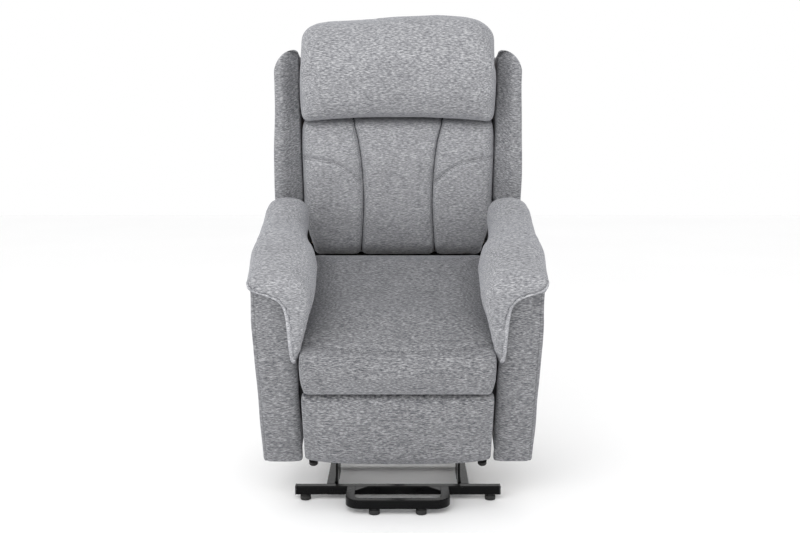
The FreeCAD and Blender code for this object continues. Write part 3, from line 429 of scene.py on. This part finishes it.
def chenille(name, along="x", shade=1.0, contrast=1.1):
    """Flecked grey chenille: short light and dark dashes along the weft, over a fine pile. shade multiplies every
    grey: above 1 it paints light, and below 1 it paints shade, into a copy of the cloth.
    """
    look = Look(name, Sheen_Weight=0.25, Sheen_Roughness=0.5, Specular_IOR_Level=0.15)
    look.set(look.surface, {"Sheen Tint": (0.9, 0.92, 1.0, 1)})
    dash = look.noise(440, 3.0, 0.62, FLECK[along])
    cloud = look.noise(11, 4.0, 0.6)
    patch = look.noise(46, 2.0, 0.6)
    fine = look.noise(1100, 2.0, 0.7, (0.5, 1, 1))
    greys = [MEAN_GREY + (grey - MEAN_GREY) * contrast for grey in GREYS]
    dark, low, middle, pale = ((grey * shade, (grey + 0.002) * shade, (grey + 0.014) * shade)
                               for grey in greys)
    tone = look.ramp((dash, "Fac"), ((0.34, dark), (0.46, low), (0.54, middle), (0.66, pale)))
    wide = look.scaled((cloud, "Fac"), 0.84, 1.14)
    near = look.scaled((patch, "Fac"), 0.93, 1.07)
    speck = look.scaled((fine, "Fac"), 0.80, 1.20)
    mottle = look.add("Math", {0: (wide, "Result"), 1: (near, "Result")}, operation="MULTIPLY")
    both = look.add("Math", {0: (mottle, "Value"), 1: (speck, "Result")}, operation="MULTIPLY")
    colour = look.add("VectorMath", {0: (tone, "Color")}, operation="SCALE")
    look.set(colour, {"Scale": (both, "Value")})
    rough = look.scaled((dash, "Fac"), 0.95, 0.80)
    pile = look.bump((fine, "Fac"), 0.5, 0.0010)
    weft = look.bump((dash, "Fac"), 0.6, 0.0014, pile)
    look.set(look.surface, {"Base Color": (colour, "Vector"), "Roughness": (rough, "Result"),
                            "Normal": (weft, "Normal")})
    return look.material


def painted(name, colour, rough, gleam):
    """Powder coat: a fine orange peel, uneven gloss and slightly paler scuffs."""
    look = Look(name, Specular_IOR_Level=gleam)
    peel = look.noise(1400, 2.0, 0.5)
    wear = look.noise(26, 5.0, 0.7)
    tone = look.ramp((wear, "Fac"), ((0.35, tuple(c * 0.85 for c in colour)), (0.62, colour),
                                     (0.80, tuple(c * 1.8 + 0.001 for c in colour))))
    gloss = look.scaled((wear, "Fac"), rough - 0.06, rough + 0.12)
    look.set(look.surface, {"Base Color": (tone, "Color"), "Roughness": (gloss, "Result"),
                            "Normal": (look.bump((peel, "Fac"), 0.35, 0.00012), "Normal")})
    return look.material


def moulded(name, colour, rough, grain=2200, depth=0.0002):
    """Moulded plastic or rubber with a fine spark-eroded grain."""
    look = Look(name, Specular_IOR_Level=0.45)
    grit = look.noise(grain, 3.0, 0.6)
    haze = look.noise(18, 3.0, 0.6)
    tone = look.ramp((haze, "Fac"), ((0.3, tuple(c * 0.88 for c in colour)),
                                     (0.7, tuple(c * 1.14 for c in colour))))
    gloss = look.scaled((haze, "Fac"), rough - 0.05, rough + 0.08)
    look.set(look.surface, {"Base Color": (tone, "Color"), "Roughness": (gloss, "Result"),
                            "Normal": (look.bump((grit, "Fac"), 0.4, depth), "Normal")})
    return look.material


def bright(name, colour, rough, along=(1, 1, 1)):
    """Bare or anodised metal with drawn or turned marks."""
    look = Look(name, Metallic=1.0)
    marks = look.noise(1500, 3.0, 0.6, along)
    tone = look.ramp((marks, "Fac"), ((0.3, tuple(c * 0.9 for c in colour)), (0.7, colour)))
    gloss = look.scaled((marks, "Fac"), rough * 0.8, rough * 1.3)
    look.set(look.surface, {"Base Color": (tone, "Color"), "Roughness": (gloss, "Result"),
                            "Normal": (look.bump((marks, "Fac"), 0.15, 0.0001), "Normal")})
    return look.material


def wood(name):
    """Sawn plywood: long pale grain."""
    look = Look(name, Specular_IOR_Level=0.3)
    grain = look.noise(120, 5.0, 0.65, (1, 1, 0.08))
    tone = look.ramp((grain, "Fac"), ((0.3, (0.36, 0.23, 0.12)), (0.55, (0.58, 0.42, 0.25)),
                                      (0.8, (0.68, 0.53, 0.35))))
    rough = look.scaled((grain, "Fac"), 0.6, 0.85)
    look.set(look.surface, {"Base Color": (tone, "Color"), "Roughness": (rough, "Result"),
                            "Normal": (look.bump((grain, "Fac"), 0.4, 0.0004), "Normal")})
    return look.material


def elastic(name):
    """Ribbed black belt."""
    look = Look(name, Specular_IOR_Level=0.3)
    spot = look.add("Mapping", {"Vector": (look.where, "Object"), "Rotation": (-TILT + BACK_LEAN, 0, 0)})
    ribs = look.add("TexWave", {"Vector": (spot, "Vector"), "Scale": 180, "Distortion": 0.6, "Detail": 1.0},
                    bands_direction="Z")
    tone = look.ramp((ribs, "Fac"), ((0.2, (0.02, 0.02, 0.022)), (0.8, (0.09, 0.09, 0.095))))
    rough = look.scaled((ribs, "Fac"), 0.8, 0.95)
    look.set(look.surface, {"Base Color": (tone, "Color"), "Roughness": (rough, "Result"),
                            "Normal": (look.bump((ribs, "Fac"), 0.5, 0.0006), "Normal")})
    return look.material


CLOTH = chenille("chenille_front")
# Painted light: the piping is the front cloth with every grey raised by 30%, for the light on the raised cord.
LIT_PIPING_FABRIC = chenille("chenille_painted_light_piping", shade=1.30)
# Painted light: the back cushion is the front cloth made a little brighter, with slightly less fleck contrast.
LIT_BACK_FABRIC = chenille("chenille_painted_light_back", shade=1.08, contrast=0.95)
# Painted shade: the footrest, arm panels and side pocket are the front cloth darkened to three quarters, for the
# shade on the lower, downward-facing faces; their flecks are stronger.
SHADED_LOWER_FABRIC = chenille("chenille_painted_shade_lower", "sides", 0.75, 1.35)
# Painted shade: the back shell and wings are the front cloth somewhat darkened, with stronger flecks.
SHADED_WING_FABRIC = chenille("chenille_painted_shade_wings", "sides", 0.86, 1.2)
# Painted shade: the seat is the front cloth darkened to about three quarters, for the shade in the hollow between
# the arms and the back; its flecks are stronger.
SHADED_SEAT_FABRIC = chenille("chenille_painted_shade_seat", shade=0.73, contrast=1.35)
SEAM_THREAD = moulded("seam_thread", (0.045, 0.046, 0.052), 0.8, 3000, 0.0003)
PALE_THREAD = moulded("stitch_thread", (0.085, 0.087, 0.094), 0.8, 3000, 0.0003)
# Black cloth: the footrest board's cover, and the sheets of painted shade in the gaps.
BLACK_CLOTH_AND_SHADE = moulded("black_cloth_and_painted_shade", (0.010, 0.010, 0.011), 0.95, 1800, 0.0006)
FINISH = {
    "base_steel": painted("black_powder_coat", (0.003, 0.003, 0.0033), 0.22, gleam=0.10),
    "mechanism_steel": painted("black_mechanism_paint", (0.005, 0.005, 0.0055), 0.30, gleam=0.2),
    "black_rubber": moulded("black_rubber", (0.012, 0.012, 0.012), 0.62),
    "black_plastic": moulded("black_plastic", (0.020, 0.020, 0.022), 0.45),
    "actuator_tube": bright("anodised_tube", (0.30, 0.30, 0.31), 0.38, (1, 0.1, 0.1)),
    "bright_rod": bright("polished_rod", (0.80, 0.80, 0.81), 0.14),
    "spring_wire": bright("drawn_wire", (0.45, 0.45, 0.46), 0.35),
    "plywood": wood("sawn_plywood"),
    "elastic_belt": elastic("elastic_belt"),
    "grey_keys": moulded("grey_keys", (0.16, 0.165, 0.175), 0.5),
    "upholstery": CLOTH,
    "pocket_fabric": SHADED_LOWER_FABRIC,
}
# The footrest's board is covered with black cloth underneath.
COVERED = {"footrest_board": BLACK_CLOTH_AND_SHADE}
for part in frame["record"]["subparts"]:
    node = frame["nodes"][part["node"]]
    node.data.materials.clear()
    node.data.materials.append(COVERED.get(part["node"]) or FINISH[part["material_slot"]])


def dress(piece, body, look, *nodes, slot="upholstery", fill=None):
    """Gives a finished piece its material and its body, and hides the parts it replaces."""
    piece.data.materials.clear()
    piece.data.materials.append(look)
    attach(piece, body)
    if nodes:
        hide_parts(*nodes)
    return piece


def shade_sheet(name, body, place, *slabs):
    """Black sheets set in the dark gaps as painted shade: each slab is (left, right, front, rear, low, high)."""
    mesh = bmesh.new()
    for left, right, front, rear, low, high in slabs:
        prism(mesh, [(front, low), (front, high), (rear, high), (rear, low)], left, right)
    piece = made(name, mesh, place)
    piece.data.shade_flat()
    dress(piece, body, BLACK_CLOTH_AND_SHADE)


# ---------------------------------------------------------------- seat

SEAT_HALF = 0.262


def seat():
    outline = [(-0.036, 0.339), (-0.048, 0.345), (-0.051, 0.366), (-0.049, 0.430), (-0.037, 0.462),
               (0.004, 0.471), (0.200, 0.450), (0.487, 0.431), (0.488, 0.350)]
    mesh = bmesh.new()
    prism(mesh, outline, -SEAT_HALF + 0.008, SEAT_HALF - 0.008, edge=0.008)
    cushion = made("seat_cushion_cover", mesh, CHAIR)
    voxels(cushion, VOXEL)
    smooth(cushion, 4)
    roll = through([(-0.262, 0.000, 0.5), (-0.175, -0.024, 0.5), (0.0, -0.040, 0.5), (0.175, -0.024, 0.5),
                    (0.262, 0.000, 0.5)])
    seam = on_surface(cushion, roll, DOWN_BACK)
    press(cushion, seam, 0.004, 0.010)
    where = points(cushion)
    apart, _ = distance(where, seam)
    inflate(cushion, 0.024, (apart < 0.0045) | (where[:, 2] < 0.3505) & (where[:, 1] > 0.0))
    where = points(cushion)
    low = ease(where[:, 2], 0.384, 0.346) * ease(where[:, 1], 0.02, -0.03)
    where[:, 0] *= 1 - 0.022 * low
    set_points(cushion, where)
    room = SEAT_HALF + 0.003
    keep_inside(cushion, (-room, -0.0605, 0.3370), (room, 0.491, 0.496), 0.002)
    subdivide(cushion)
    rows = []
    for shift in DOUBLE:
        row = on_surface(cushion, roll + (0, shift, 0), DOWN_BACK)
        press(cushion, row, 0.0016, 0.0022)
        rows.append(row)
    dress(cushion, "chair", SHADED_SEAT_FABRIC, "seat_cushion", fill=0.75)
    for number, row in enumerate(rows):
        row = on_surface(cushion, row, DOWN_BACK, THREAD_LIFT)
        dress(stitches(f"seat_stitches_{number}", row, CHAIR), "chair", PALE_THREAD)
    # Painted shade: black sheets in front of the seat's front board fill the dark gap between the seat roll and
    # the footrest.
    deep = (0.0165, 0.0192)
    shade_sheet("seat_front_painted_shade", "chair", CHAIR, (-0.264, 0.264, *deep, 0.286, 0.3385),
           (-0.264, -0.244, *deep, 0.190, 0.285), (0.244, 0.264, *deep, 0.190, 0.285))


# ---------------------------------------------------------------- footrest

FOOTREST_HALF = 0.256


def footrest():
    mesh = bmesh.new()
    outline = [(-0.046, 0.090), (-0.046, 0.312), (-0.041, 0.322), (-0.031, 0.3275), (-0.010, 0.3275),
               (-0.010, 0.090)]
    prism(mesh, outline, -FOOTREST_HALF, FOOTREST_HALF, edge=0.006)
    pad = made("footrest_cover", mesh, CHAIR)
    voxels(pad, VOXEL)
    where = points(pad)
    low = ease(where[:, 2], 0.24, 0.10)
    where[:, 2] += 0.020 * np.abs(where[:, 0] / FOOTREST_HALF) ** 4 * low
    where[:, 2] -= 0.004 * low
    set_points(pad, where)
    inflate(pad, 0.012, points(pad)[:, 1] > -0.014)
    keep_inside(pad, (-0.2605, -0.053, 0.0825), (0.2605, -0.0075, 0.3295), 0.002)
    subdivide(pad)
    dress(pad, "footrest", SHADED_LOWER_FABRIC, "footrest_pad", fill=0.6)


# ---------------------------------------------------------------- back cushion and head pillow

# The sewn channels and the stitched arcs that leave them, as (x, v) on the right half.
CHANNEL = ((0.127, 0.584), (0.1120, 0.520), (0.1030, 0.440), (0.1000, 0.340), (0.1045, 0.250),
           (0.1110, 0.160))
BRANCH = ((0.272, 0.478), (0.225, 0.474), (0.180, 0.463), (0.140, 0.436), (0.106, 0.404))


def back_cushion():
    outline = [(-0.046, 0.156), (-0.074, 0.196), (-0.092, 0.300), (-0.092, 0.480), (-0.080, 0.572),
               (-0.022, 0.575), (-0.022, 0.156)]
    mesh = bmesh.new()
    prism(mesh, outline, -0.266, 0.266, edge=0.010)
    cushion = made("back_cushion_cover", mesh, BACK)
    voxels(cushion, VOXEL)
    smooth(cushion, 3)
    where = points(cushion)
    where[:, 0] *= 1 - 0.075 * ease(where[:, 2], 0.30, 0.16) - 0.012 * ease(where[:, 2], 0.50, 0.58)
    set_points(cushion, where)
    channels = [[(side * x, -0.12, v) for x, v in CHANNEL] for side, _ in SIDES]
    pinned = points(cushion)[:, 1] > -0.026
    for controls in channels:
        seam = on_surface(cushion, through(controls), REARWARD)
        press(cushion, seam, 0.007, 0.012)
        seam = on_surface(cushion, through(controls), REARWARD)
        apart, _ = distance(points(cushion), seam)
        pinned |= apart < 0.0045
    inflate(cushion, 0.026, pinned)
    keep_inside(cushion, (-0.2760, -0.125, 0.1510), (0.2760, -0.0155, 0.584))
    subdivide(cushion)
    for (side, _), controls in zip(SIDES, channels):
        press(cushion, on_surface(cushion, through(controls), REARWARD), 0.005, 0.0035)
        for shift in DOUBLE:
            branch = through([(side * x, -0.12, v + shift) for x, v in BRANCH])
            press(cushion, on_surface(cushion, branch, REARWARD), 0.0032, 0.0045)
    dress(cushion, "back", LIT_BACK_FABRIC, "back_cushion", fill=0.75)
    # Painted shade: a black sheet below the back cushion fills the dark gap down to the seat.
    shade_sheet("back_lower_painted_shade", "back", BACK, (-0.272, 0.272, -0.0128, -0.0110, 0.046, 0.172))
    for (side, word), controls in zip(SIDES, channels):
        seam = on_surface(cushion, through(controls), REARWARD, THREAD_LIFT)
        dress(tube(f"back_channel_seam_{word}", seam, 0.0014, BACK, 6), "back", SEAM_THREAD)
        for row, shift in enumerate(DOUBLE):
            branch = through([(side * x, -0.12, v + shift) for x, v in BRANCH])
            branch = on_surface(cushion, branch, REARWARD, THREAD_LIFT)
            dress(stitches(f"back_stitches_{word}_{row}", branch, BACK), "back", PALE_THREAD)


# The pillow's top line seen from the front: how much each place along it is raised, as (x, height).
PILLOW_TOP = ((-0.270, -0.042), (-0.252, -0.022), (-0.225, -0.011), (-0.190, -0.006), (-0.140, -0.004),
              (-0.070, 0.000), (0.000, 0.007), (0.110, 0.013), (0.190, 0.008), (0.222, 0.001),
              (0.246, -0.014), (0.270, -0.040))


def head_pillow():
    outline = [(-0.098, 0.592), (-0.127, 0.606), (-0.135, 0.680), (-0.128, 0.780), (-0.100, 0.832),
               (-0.058, 0.858), (0.000, 0.846), (0.044, 0.806), (0.052, 0.754), (-0.022, 0.754),
               (-0.024, 0.592)]
    mesh = bmesh.new()
    prism(mesh, outline, -0.262, 0.262, edge=0.007)
    pillow = made("head_pillow_cover", mesh, BACK)
    voxels(pillow, VOXEL)
    smooth(pillow, 3)
    where = points(pillow)
    top = ease(where[:, 2], 0.72, 0.84)
    spots = np.array(PILLOW_TOP)
    where[:, 2] += top * np.interp(where[:, 0], spots[:, 0], spots[:, 1])
    foot = ease(where[:, 2], 0.67, 0.60)
    where[:, 0] *= 1 - 0.010 * top
    where[:, 2] += foot * 0.014 * (1 - (where[:, 0] / 0.262) ** 2) * ease(where[:, 1], -0.03, -0.08)
    set_points(pillow, where)
    inflate(pillow, 0.024, (where[:, 1] > -0.028) & (where[:, 2] < 0.745))
    keep_inside(pillow, (-0.2745, None, 0.5855), (0.2745, None, None), 0.003)
    where = points(pillow)
    where += normals(pillow) * (0.0012 * hum(where, 0.14, 21))[:, None]
    set_points(pillow, where)
    subdivide(pillow)
    dress(pillow, "back", CLOTH, "head_pillow", fill=0.85)


# ---------------------------------------------------------------- back shell with wings


def back_shell():
    wing = [(-0.040, 0.008), (-0.040, 0.302), (-0.122, 0.334), (-0.124, 0.500), (-0.090, 0.742),
            (-0.062, 0.780), (-0.018, 0.770), (0.048, 0.736), (0.048, 0.008)]
    mesh = bmesh.new()
    prism(mesh, [(0.042, 0.004), (0.042, 0.730), (0.070, 0.730), (0.070, 0.004)], -0.344, 0.344, edge=0.010)
    for side, _ in SIDES:
        low, high = sorted((side * 0.2780, side * 0.345))
        prism(mesh, wing, low, high, edge=0.010)
    shell = made("back_shell_cover", mesh, BACK)
    voxels(shell, 0.007)
    smooth(shell, 3)
    where = points(shell)
    reach = 0.070
    out = np.stack((np.abs(where[:, 0]) - (0.347 - reach), where[:, 2] - (0.784 - reach)), 1)
    out[:, 1] += 0.30 * np.clip(where[:, 1] + 0.05, 0, None)
    far = np.hypot(out[:, 0], out[:, 1])
    cut = (out[:, 0] > 0) & (out[:, 1] > 0) & (far > reach)
    pull = out[cut] * (reach / far[cut] - 1)[:, None]
    where[cut, 0] += np.sign(where[cut, 0]) * pull[:, 0]
    where[cut, 2] += pull[:, 1]
    facing = normals(shell)
    behind = ease(facing[:, 1], 0.5, 0.9)
    bulge = (1 - (where[:, 0] / 0.35) ** 4) * (1 - ((where[:, 2] - 0.37) / 0.40) ** 4)
    where[:, 1] += behind * 0.008 * np.clip(bulge, 0, 1)
    where += facing * (0.0016 * hum(where, 0.20, 5))[:, None]
    inward = ease(np.abs(where[:, 0]), 0.324, 0.284) * ease(-where[:, 1], 0.044, 0.070)
    where[:, 1] += 0.046 * inward
    flare = ease(np.abs(where[:, 0]), 0.29, 0.34) * ease(where[:, 2], 0.72, 0.38)
    where[:, 0] += np.sign(where[:, 0]) * 0.011 * flare
    set_points(shell, where)
    smooth(shell, 2)
    subdivide(shell)
    dress(shell, "back", SHADED_WING_FABRIC, "back_shell", fill=0.5)


# ---------------------------------------------------------------- arms

# The piped front edge of a pad, from its outer end down to the tip of the flap, as (x, z).
SWOOP = ((0.3735, 0.680), (0.366, 0.669), (0.355, 0.661), (0.336, 0.654), (0.317, 0.646), (0.2965, 0.632),
         (0.2830, 0.606), (0.2770, 0.560), (0.2755, 0.495), (0.2735, 0.452), (0.2690, 0.432))
# Sections through a pad, from the flap at its front to its rear end, as (x, z): first the outer
# side and the top, then the roll that hangs over the seat, and last the underside.
NOSE = ((0.3735, 0.681), (0.364, 0.691), (0.330, 0.694), (0.272, 0.690), (0.234, 0.672), (0.2205, 0.626),
        (0.233, 0.556), (0.249, 0.490), (0.2675, 0.431), (0.2750, 0.465), (0.2765, 0.530), (0.2815, 0.596),
        (0.2940, 0.628), (0.3140, 0.643), (0.338, 0.653), (0.360, 0.662))
CREST = ((0.374, 0.640), (0.370, 0.676), (0.334, 0.688), (0.270, 0.687), (0.228, 0.668), (0.2145, 0.624),
         (0.230, 0.566), (0.248, 0.546), (0.260, 0.548), (0.2640, 0.560), (0.2650, 0.590), (0.2670, 0.6070),
         (0.285, 0.6075), (0.310, 0.6075), (0.335, 0.6075), (0.360, 0.612))
TAIL = ((0.370, 0.622), (0.364, 0.642), (0.334, 0.653), (0.300, 0.653), (0.272, 0.642), (0.260, 0.616),
        (0.259, 0.586), (0.2605, 0.572), (0.2630, 0.566), (0.2645, 0.570), (0.2655, 0.590),
        (0.2672, 0.6070), (0.286, 0.6075), (0.310, 0.6075), (0.334, 0.6075), (0.356, 0.610))


def mixed(one, two, share, lift=0.0, wide=0.0, tuck=0.0):
    """A section between two others.

    lift raises its top, wide moves its outer side out, and tuck draws its roll in from the seat.
    """
    section = np.array(one) * (1 - share) + np.array(two) * share
    section[:, 0] += wide * ease(section[:, 0], 0.30, 0.37) + tuck * ease(section[:, 0], 0.262, 0.236)
    section[:, 1] += lift * ease(section[:, 1], 0.664, 0.688)
    return section


def arm_pad(side, word):
    stations = [(-0.0215, mixed(NOSE, NOSE, 0, -0.020, 0, 0.010)),
                (-0.0185, mixed(NOSE, NOSE, 0, -0.013, 0, 0.005)),
                (-0.0110, mixed(NOSE, NOSE, 0, -0.006, 0, 0.002)), (-0.0030, mixed(NOSE, NOSE, 0, -0.002)),
                (0.006, mixed(NOSE, CREST, 0.50)), (0.024, mixed(NOSE, CREST, 0.90, 0.001)),
                (0.070, mixed(CREST, CREST, 0, 0.001)), (0.140, mixed(CREST, CREST, 0, 0, 0.001)),
                (0.205, mixed(CREST, TAIL, 0.25)), (0.260, mixed(CREST, TAIL, 0.64)),
                (0.330, mixed(CREST, TAIL, 0.95)),
                (0.395, mixed(TAIL, TAIL, 0, 0, -0.002)), (0.430, mixed(TAIL, TAIL, 0, 0, -0.009)),
                (0.446, mixed(TAIL, TAIL, 0, 0, -0.020) - (0, 0.006))]
    stations = [(y, closed_curve(section, 96) * (side, 1)) for y, section in stations]
    mesh = bmesh.new()
    loft(mesh, stations)
    pad = made(f"arm_pad_cover_{word}", mesh, CHAIR)
    voxels(pad, 0.0045)
    smooth(pad, 3)
    piped = through([(side * x, -0.05, z) for x, z in SWOOP])
    where = points(pad)
    apart, _ = distance(where, on_surface(pad, piped, REARWARD))
    broad = np.abs(where[:, 0])
    under = (where[:, 1] > 0.012) & (broad > 0.2645) & (where[:, 2] < 0.612)
    inner = (where[:, 1] > 0.012) & (broad > 0.2625) & (where[:, 2] < 0.604)
    flap = (where[:, 1] > -0.006) & (where[:, 1] < 0.012) & (where[:, 2] < 0.640)
    inflate(pad, 0.014, (apart < 0.005) | under | inner | flap)
    keep_inside(pad, (-0.384, -0.031, None), (0.384, None, 0.698))
    subdivide(pad)
    crease = through([(side * x, y, z)
                      for x, y, z in ((0.390, 0.196, 0.650), (0.374, 0.205, 0.69), (0.340, 0.216, 0.72))])
    seam = on_surface(pad, crease)
    press(pad, seam, 0.004, 0.008)
    press(pad, seam, 0.002, 0.003)
    tuck = through([(side * x, y, z)
                    for x, y, z in ((0.262, 0.245, 0.72), (0.236, 0.232, 0.70), (0.216, 0.228, 0.63))])
    press(pad, on_surface(pad, tuck), 0.004, 0.008)
    edge = on_surface(pad, piped, REARWARD)
    where = points(pad)
    apart, index = distance(where, edge)
    gather = 0.0014 * np.sin(index * 0.85) * np.exp(-(apart / 0.030) ** 2) * ease(apart, 0.003, 0.012)
    where += normals(pad) * (gather + 0.0012 * hum(where, 0.11, 31 if side < 0 else 32))[:, None]
    set_points(pad, where)
    width = np.interp(np.arange(len(edge)), (0, 0.35 * len(edge), 0.6 * len(edge), len(edge)),
                      (0.0036, 0.0042, 0.0062, 0.0060))
    beside = edge + np.outer(width, (-side * 1.5, 0, 1))
    press(pad, on_surface(pad, beside), 0.0030, 0.0030)
    dress(pad, "chair", CLOTH, f"arm_pad_{word}", fill=0.7)
    cord = tube(f"arm_piping_{word}", edge + np.outer(width, (0, -0.4, 0)), width, CHAIR, 12)
    dress(cord, "chair", LIT_PIPING_FABRIC)


def arm_panel(side, word):
    mesh = bmesh.new()
    box = [(0.012, 0.056), (0.012, 0.606), (0.452, 0.606), (0.497, 0.252), (0.552, 0.212), (0.552, 0.056)]
    low, high = sorted((side * 0.270, side * 0.365))
    prism(mesh, box, low, high, edge=0.005)
    front = [(0.2665, 0.054), (0.265, 0.300), (0.2645, 0.430), (0.2665, 0.520), (0.272, 0.588),
             (0.288, 0.616), (0.314, 0.633), (0.345, 0.643), (0.370, 0.660), (0.3745, 0.540),
             (0.3755, 0.400), (0.3775, 0.054)]
    prism(mesh, [(side * x, z) for x, z in front], 0.0015, 0.024, "y", edge=0.006)
    panel = made(f"arm_panel_cover_{word}", mesh, CHAIR)
    voxels(panel, 0.0055)
    smooth(panel, 2)
    where = points(panel)
    facing = normals(panel)
    outward = ease(side * facing[:, 0], 0.5, 0.9) * (np.abs(where[:, 0]) > 0.34)
    bulge = (1 - ((where[:, 1] - 0.26) / 0.27) ** 4) * (1 - ((where[:, 2] - 0.32) / 0.29) ** 4)
    where[:, 0] += side * outward * 0.006 * np.clip(bulge, 0, 1)
    ahead = ease(-facing[:, 1], 0.5, 0.9) * (where[:, 1] < 0.05)
    bulge = (1 - ((np.abs(where[:, 0]) - 0.324) / 0.054) ** 4) * (1 - ((where[:, 2] - 0.25) / 0.24) ** 4)
    where[:, 1] -= ahead * 0.008 * np.clip(bulge, 0, 1)
    where += facing * (0.0015 * hum(where, 0.17, 11 if side < 0 else 12))[:, None]
    set_points(panel, where)
    keep_inside(panel, (None, -0.0075, None), (None, None, None))
    subdivide(panel)
    line = through([(side * x, -0.02, z)
                    for x, z in ((0.3680, 0.060), (0.3670, 0.30), (0.3655, 0.50), (0.3620, 0.640))])
    press(panel, on_surface(panel, line, REARWARD), 0.0025, 0.004)
    dress(panel, "chair", SHADED_LOWER_FABRIC, f"arm_panel_{word}", fill=0.4)
    row = on_surface(panel, line, REARWARD, THREAD_LIFT)
    dress(stitches(f"arm_stitches_{word}", row, CHAIR), "chair", PALE_THREAD)


# ---------------------------------------------------------------- pocket


def pocket():
    mesh = bmesh.new()
    outline = [(0.251, 0.284), (0.251, 0.428), (0.399, 0.428), (0.399, 0.284)]
    prism(mesh, outline, -0.3868, -0.3685, edge=0.004)
    bag = made("side_pocket_bag", mesh, CHAIR)
    voxels(bag, 0.0035)
    data = bmesh.new()
    data.from_mesh(bag.data)
    gone = [f for f in data.faces if f.normal.z > 0.5 and f.calc_center_median().z > 0.42]
    bmesh.ops.delete(data, geom=gone, context="FACES")
    data.to_mesh(bag.data)
    data.free()
    where = points(bag)
    outer = ease(-where[:, 0], 0.378, 0.3868)
    sag = np.cos((where[:, 1] - 0.325) * math.pi / 0.16) * np.cos((where[:, 2] - 0.35) * math.pi / 0.20)
    where[:, 0] -= outer * 0.003 * np.clip(sag, 0, 1)
    mouth = ease(where[:, 2], 0.40, 0.428) * np.cos((where[:, 1] - 0.325) * math.pi / 0.15)
    where[:, 2] -= outer * 0.004 * mouth
    set_points(bag, where)
    shell = bag.modifiers.new("cloth", "SOLIDIFY")
    shell.thickness = 0.0014
    shell.offset = -1
    settle(bag)
    dress(bag, "chair", SHADED_LOWER_FABRIC, "side_pocket", slot="pocket_fabric")


seat()
footrest()
back_cushion()
head_pillow()
back_shell()
for side, word in SIDES:
    arm_pad(side, word)
    arm_panel(side, word)
pocket()

# ---------------------------------------------------------------- floor, light and camera


def floor():
    mesh = bmesh.new()
    bmesh.ops.create_grid(mesh, x_segments=24, y_segments=24, size=9.0)
    ground = made("floor", mesh, Matrix.Translation((0, 0, -0.0006)))
    look = Look("pale_floor", Roughness=0.7, Specular_IOR_Level=0.2)
    cloud = look.noise(0.6, 2.0, 0.5)
    tone = look.ramp((cloud, "Fac"), ((0.3, (0.965, 0.965, 0.966)), (0.7, (0.985, 0.985, 0.985))))
    look.set(look.surface, {"Base Color": (tone, "Color")})
    ground.data.materials.append(look.material)


def lamp(name, spot, aim, size, power):
    """A square soft light at spot, turned towards aim."""
    light = bpy.data.lights.new(name, "AREA")
    light.shape = "SQUARE"
    light.size = size
    light.energy = power
    holder = bpy.data.objects.new(name, light)
    bpy.context.scene.collection.objects.link(holder)
    holder.location = spot
    holder.rotation_euler = (Vector(aim) - Vector(spot)).to_track_quat("-Z", "Y").to_euler()


def studio():
    world = bpy.data.worlds.new("studio")
    world.use_nodes = True
    sky = world.node_tree.nodes["Background"]
    sky.inputs["Color"].default_value = (1, 1, 1, 1)
    sky.inputs["Strength"].default_value = 1.0
    bpy.context.scene.world = world
    bpy.context.scene.view_settings.view_transform = "Standard"
    middle = (0, 0, 0.7)
    lamp("key", (-0.5, -3.0, 2.7), (0, 0, 0.9), 2.4, 62)
    lamp("left_fill", (-2.6, -2.0, 1.2), middle, 1.6, 14)


def camera():
    eye = bpy.data.cameras.new("camera")
    eye.lens = 49.57
    eye.sensor_width = 36.0
    holder = bpy.data.objects.new("camera", eye)
    bpy.context.scene.collection.objects.link(holder)
    holder.location = (0.006, -3.111, 1.07)
    holder.rotation_euler = (math.radians(90 - 7.72), 0, 0)
    bpy.context.scene.camera = holder


floor()
studio()
camera()
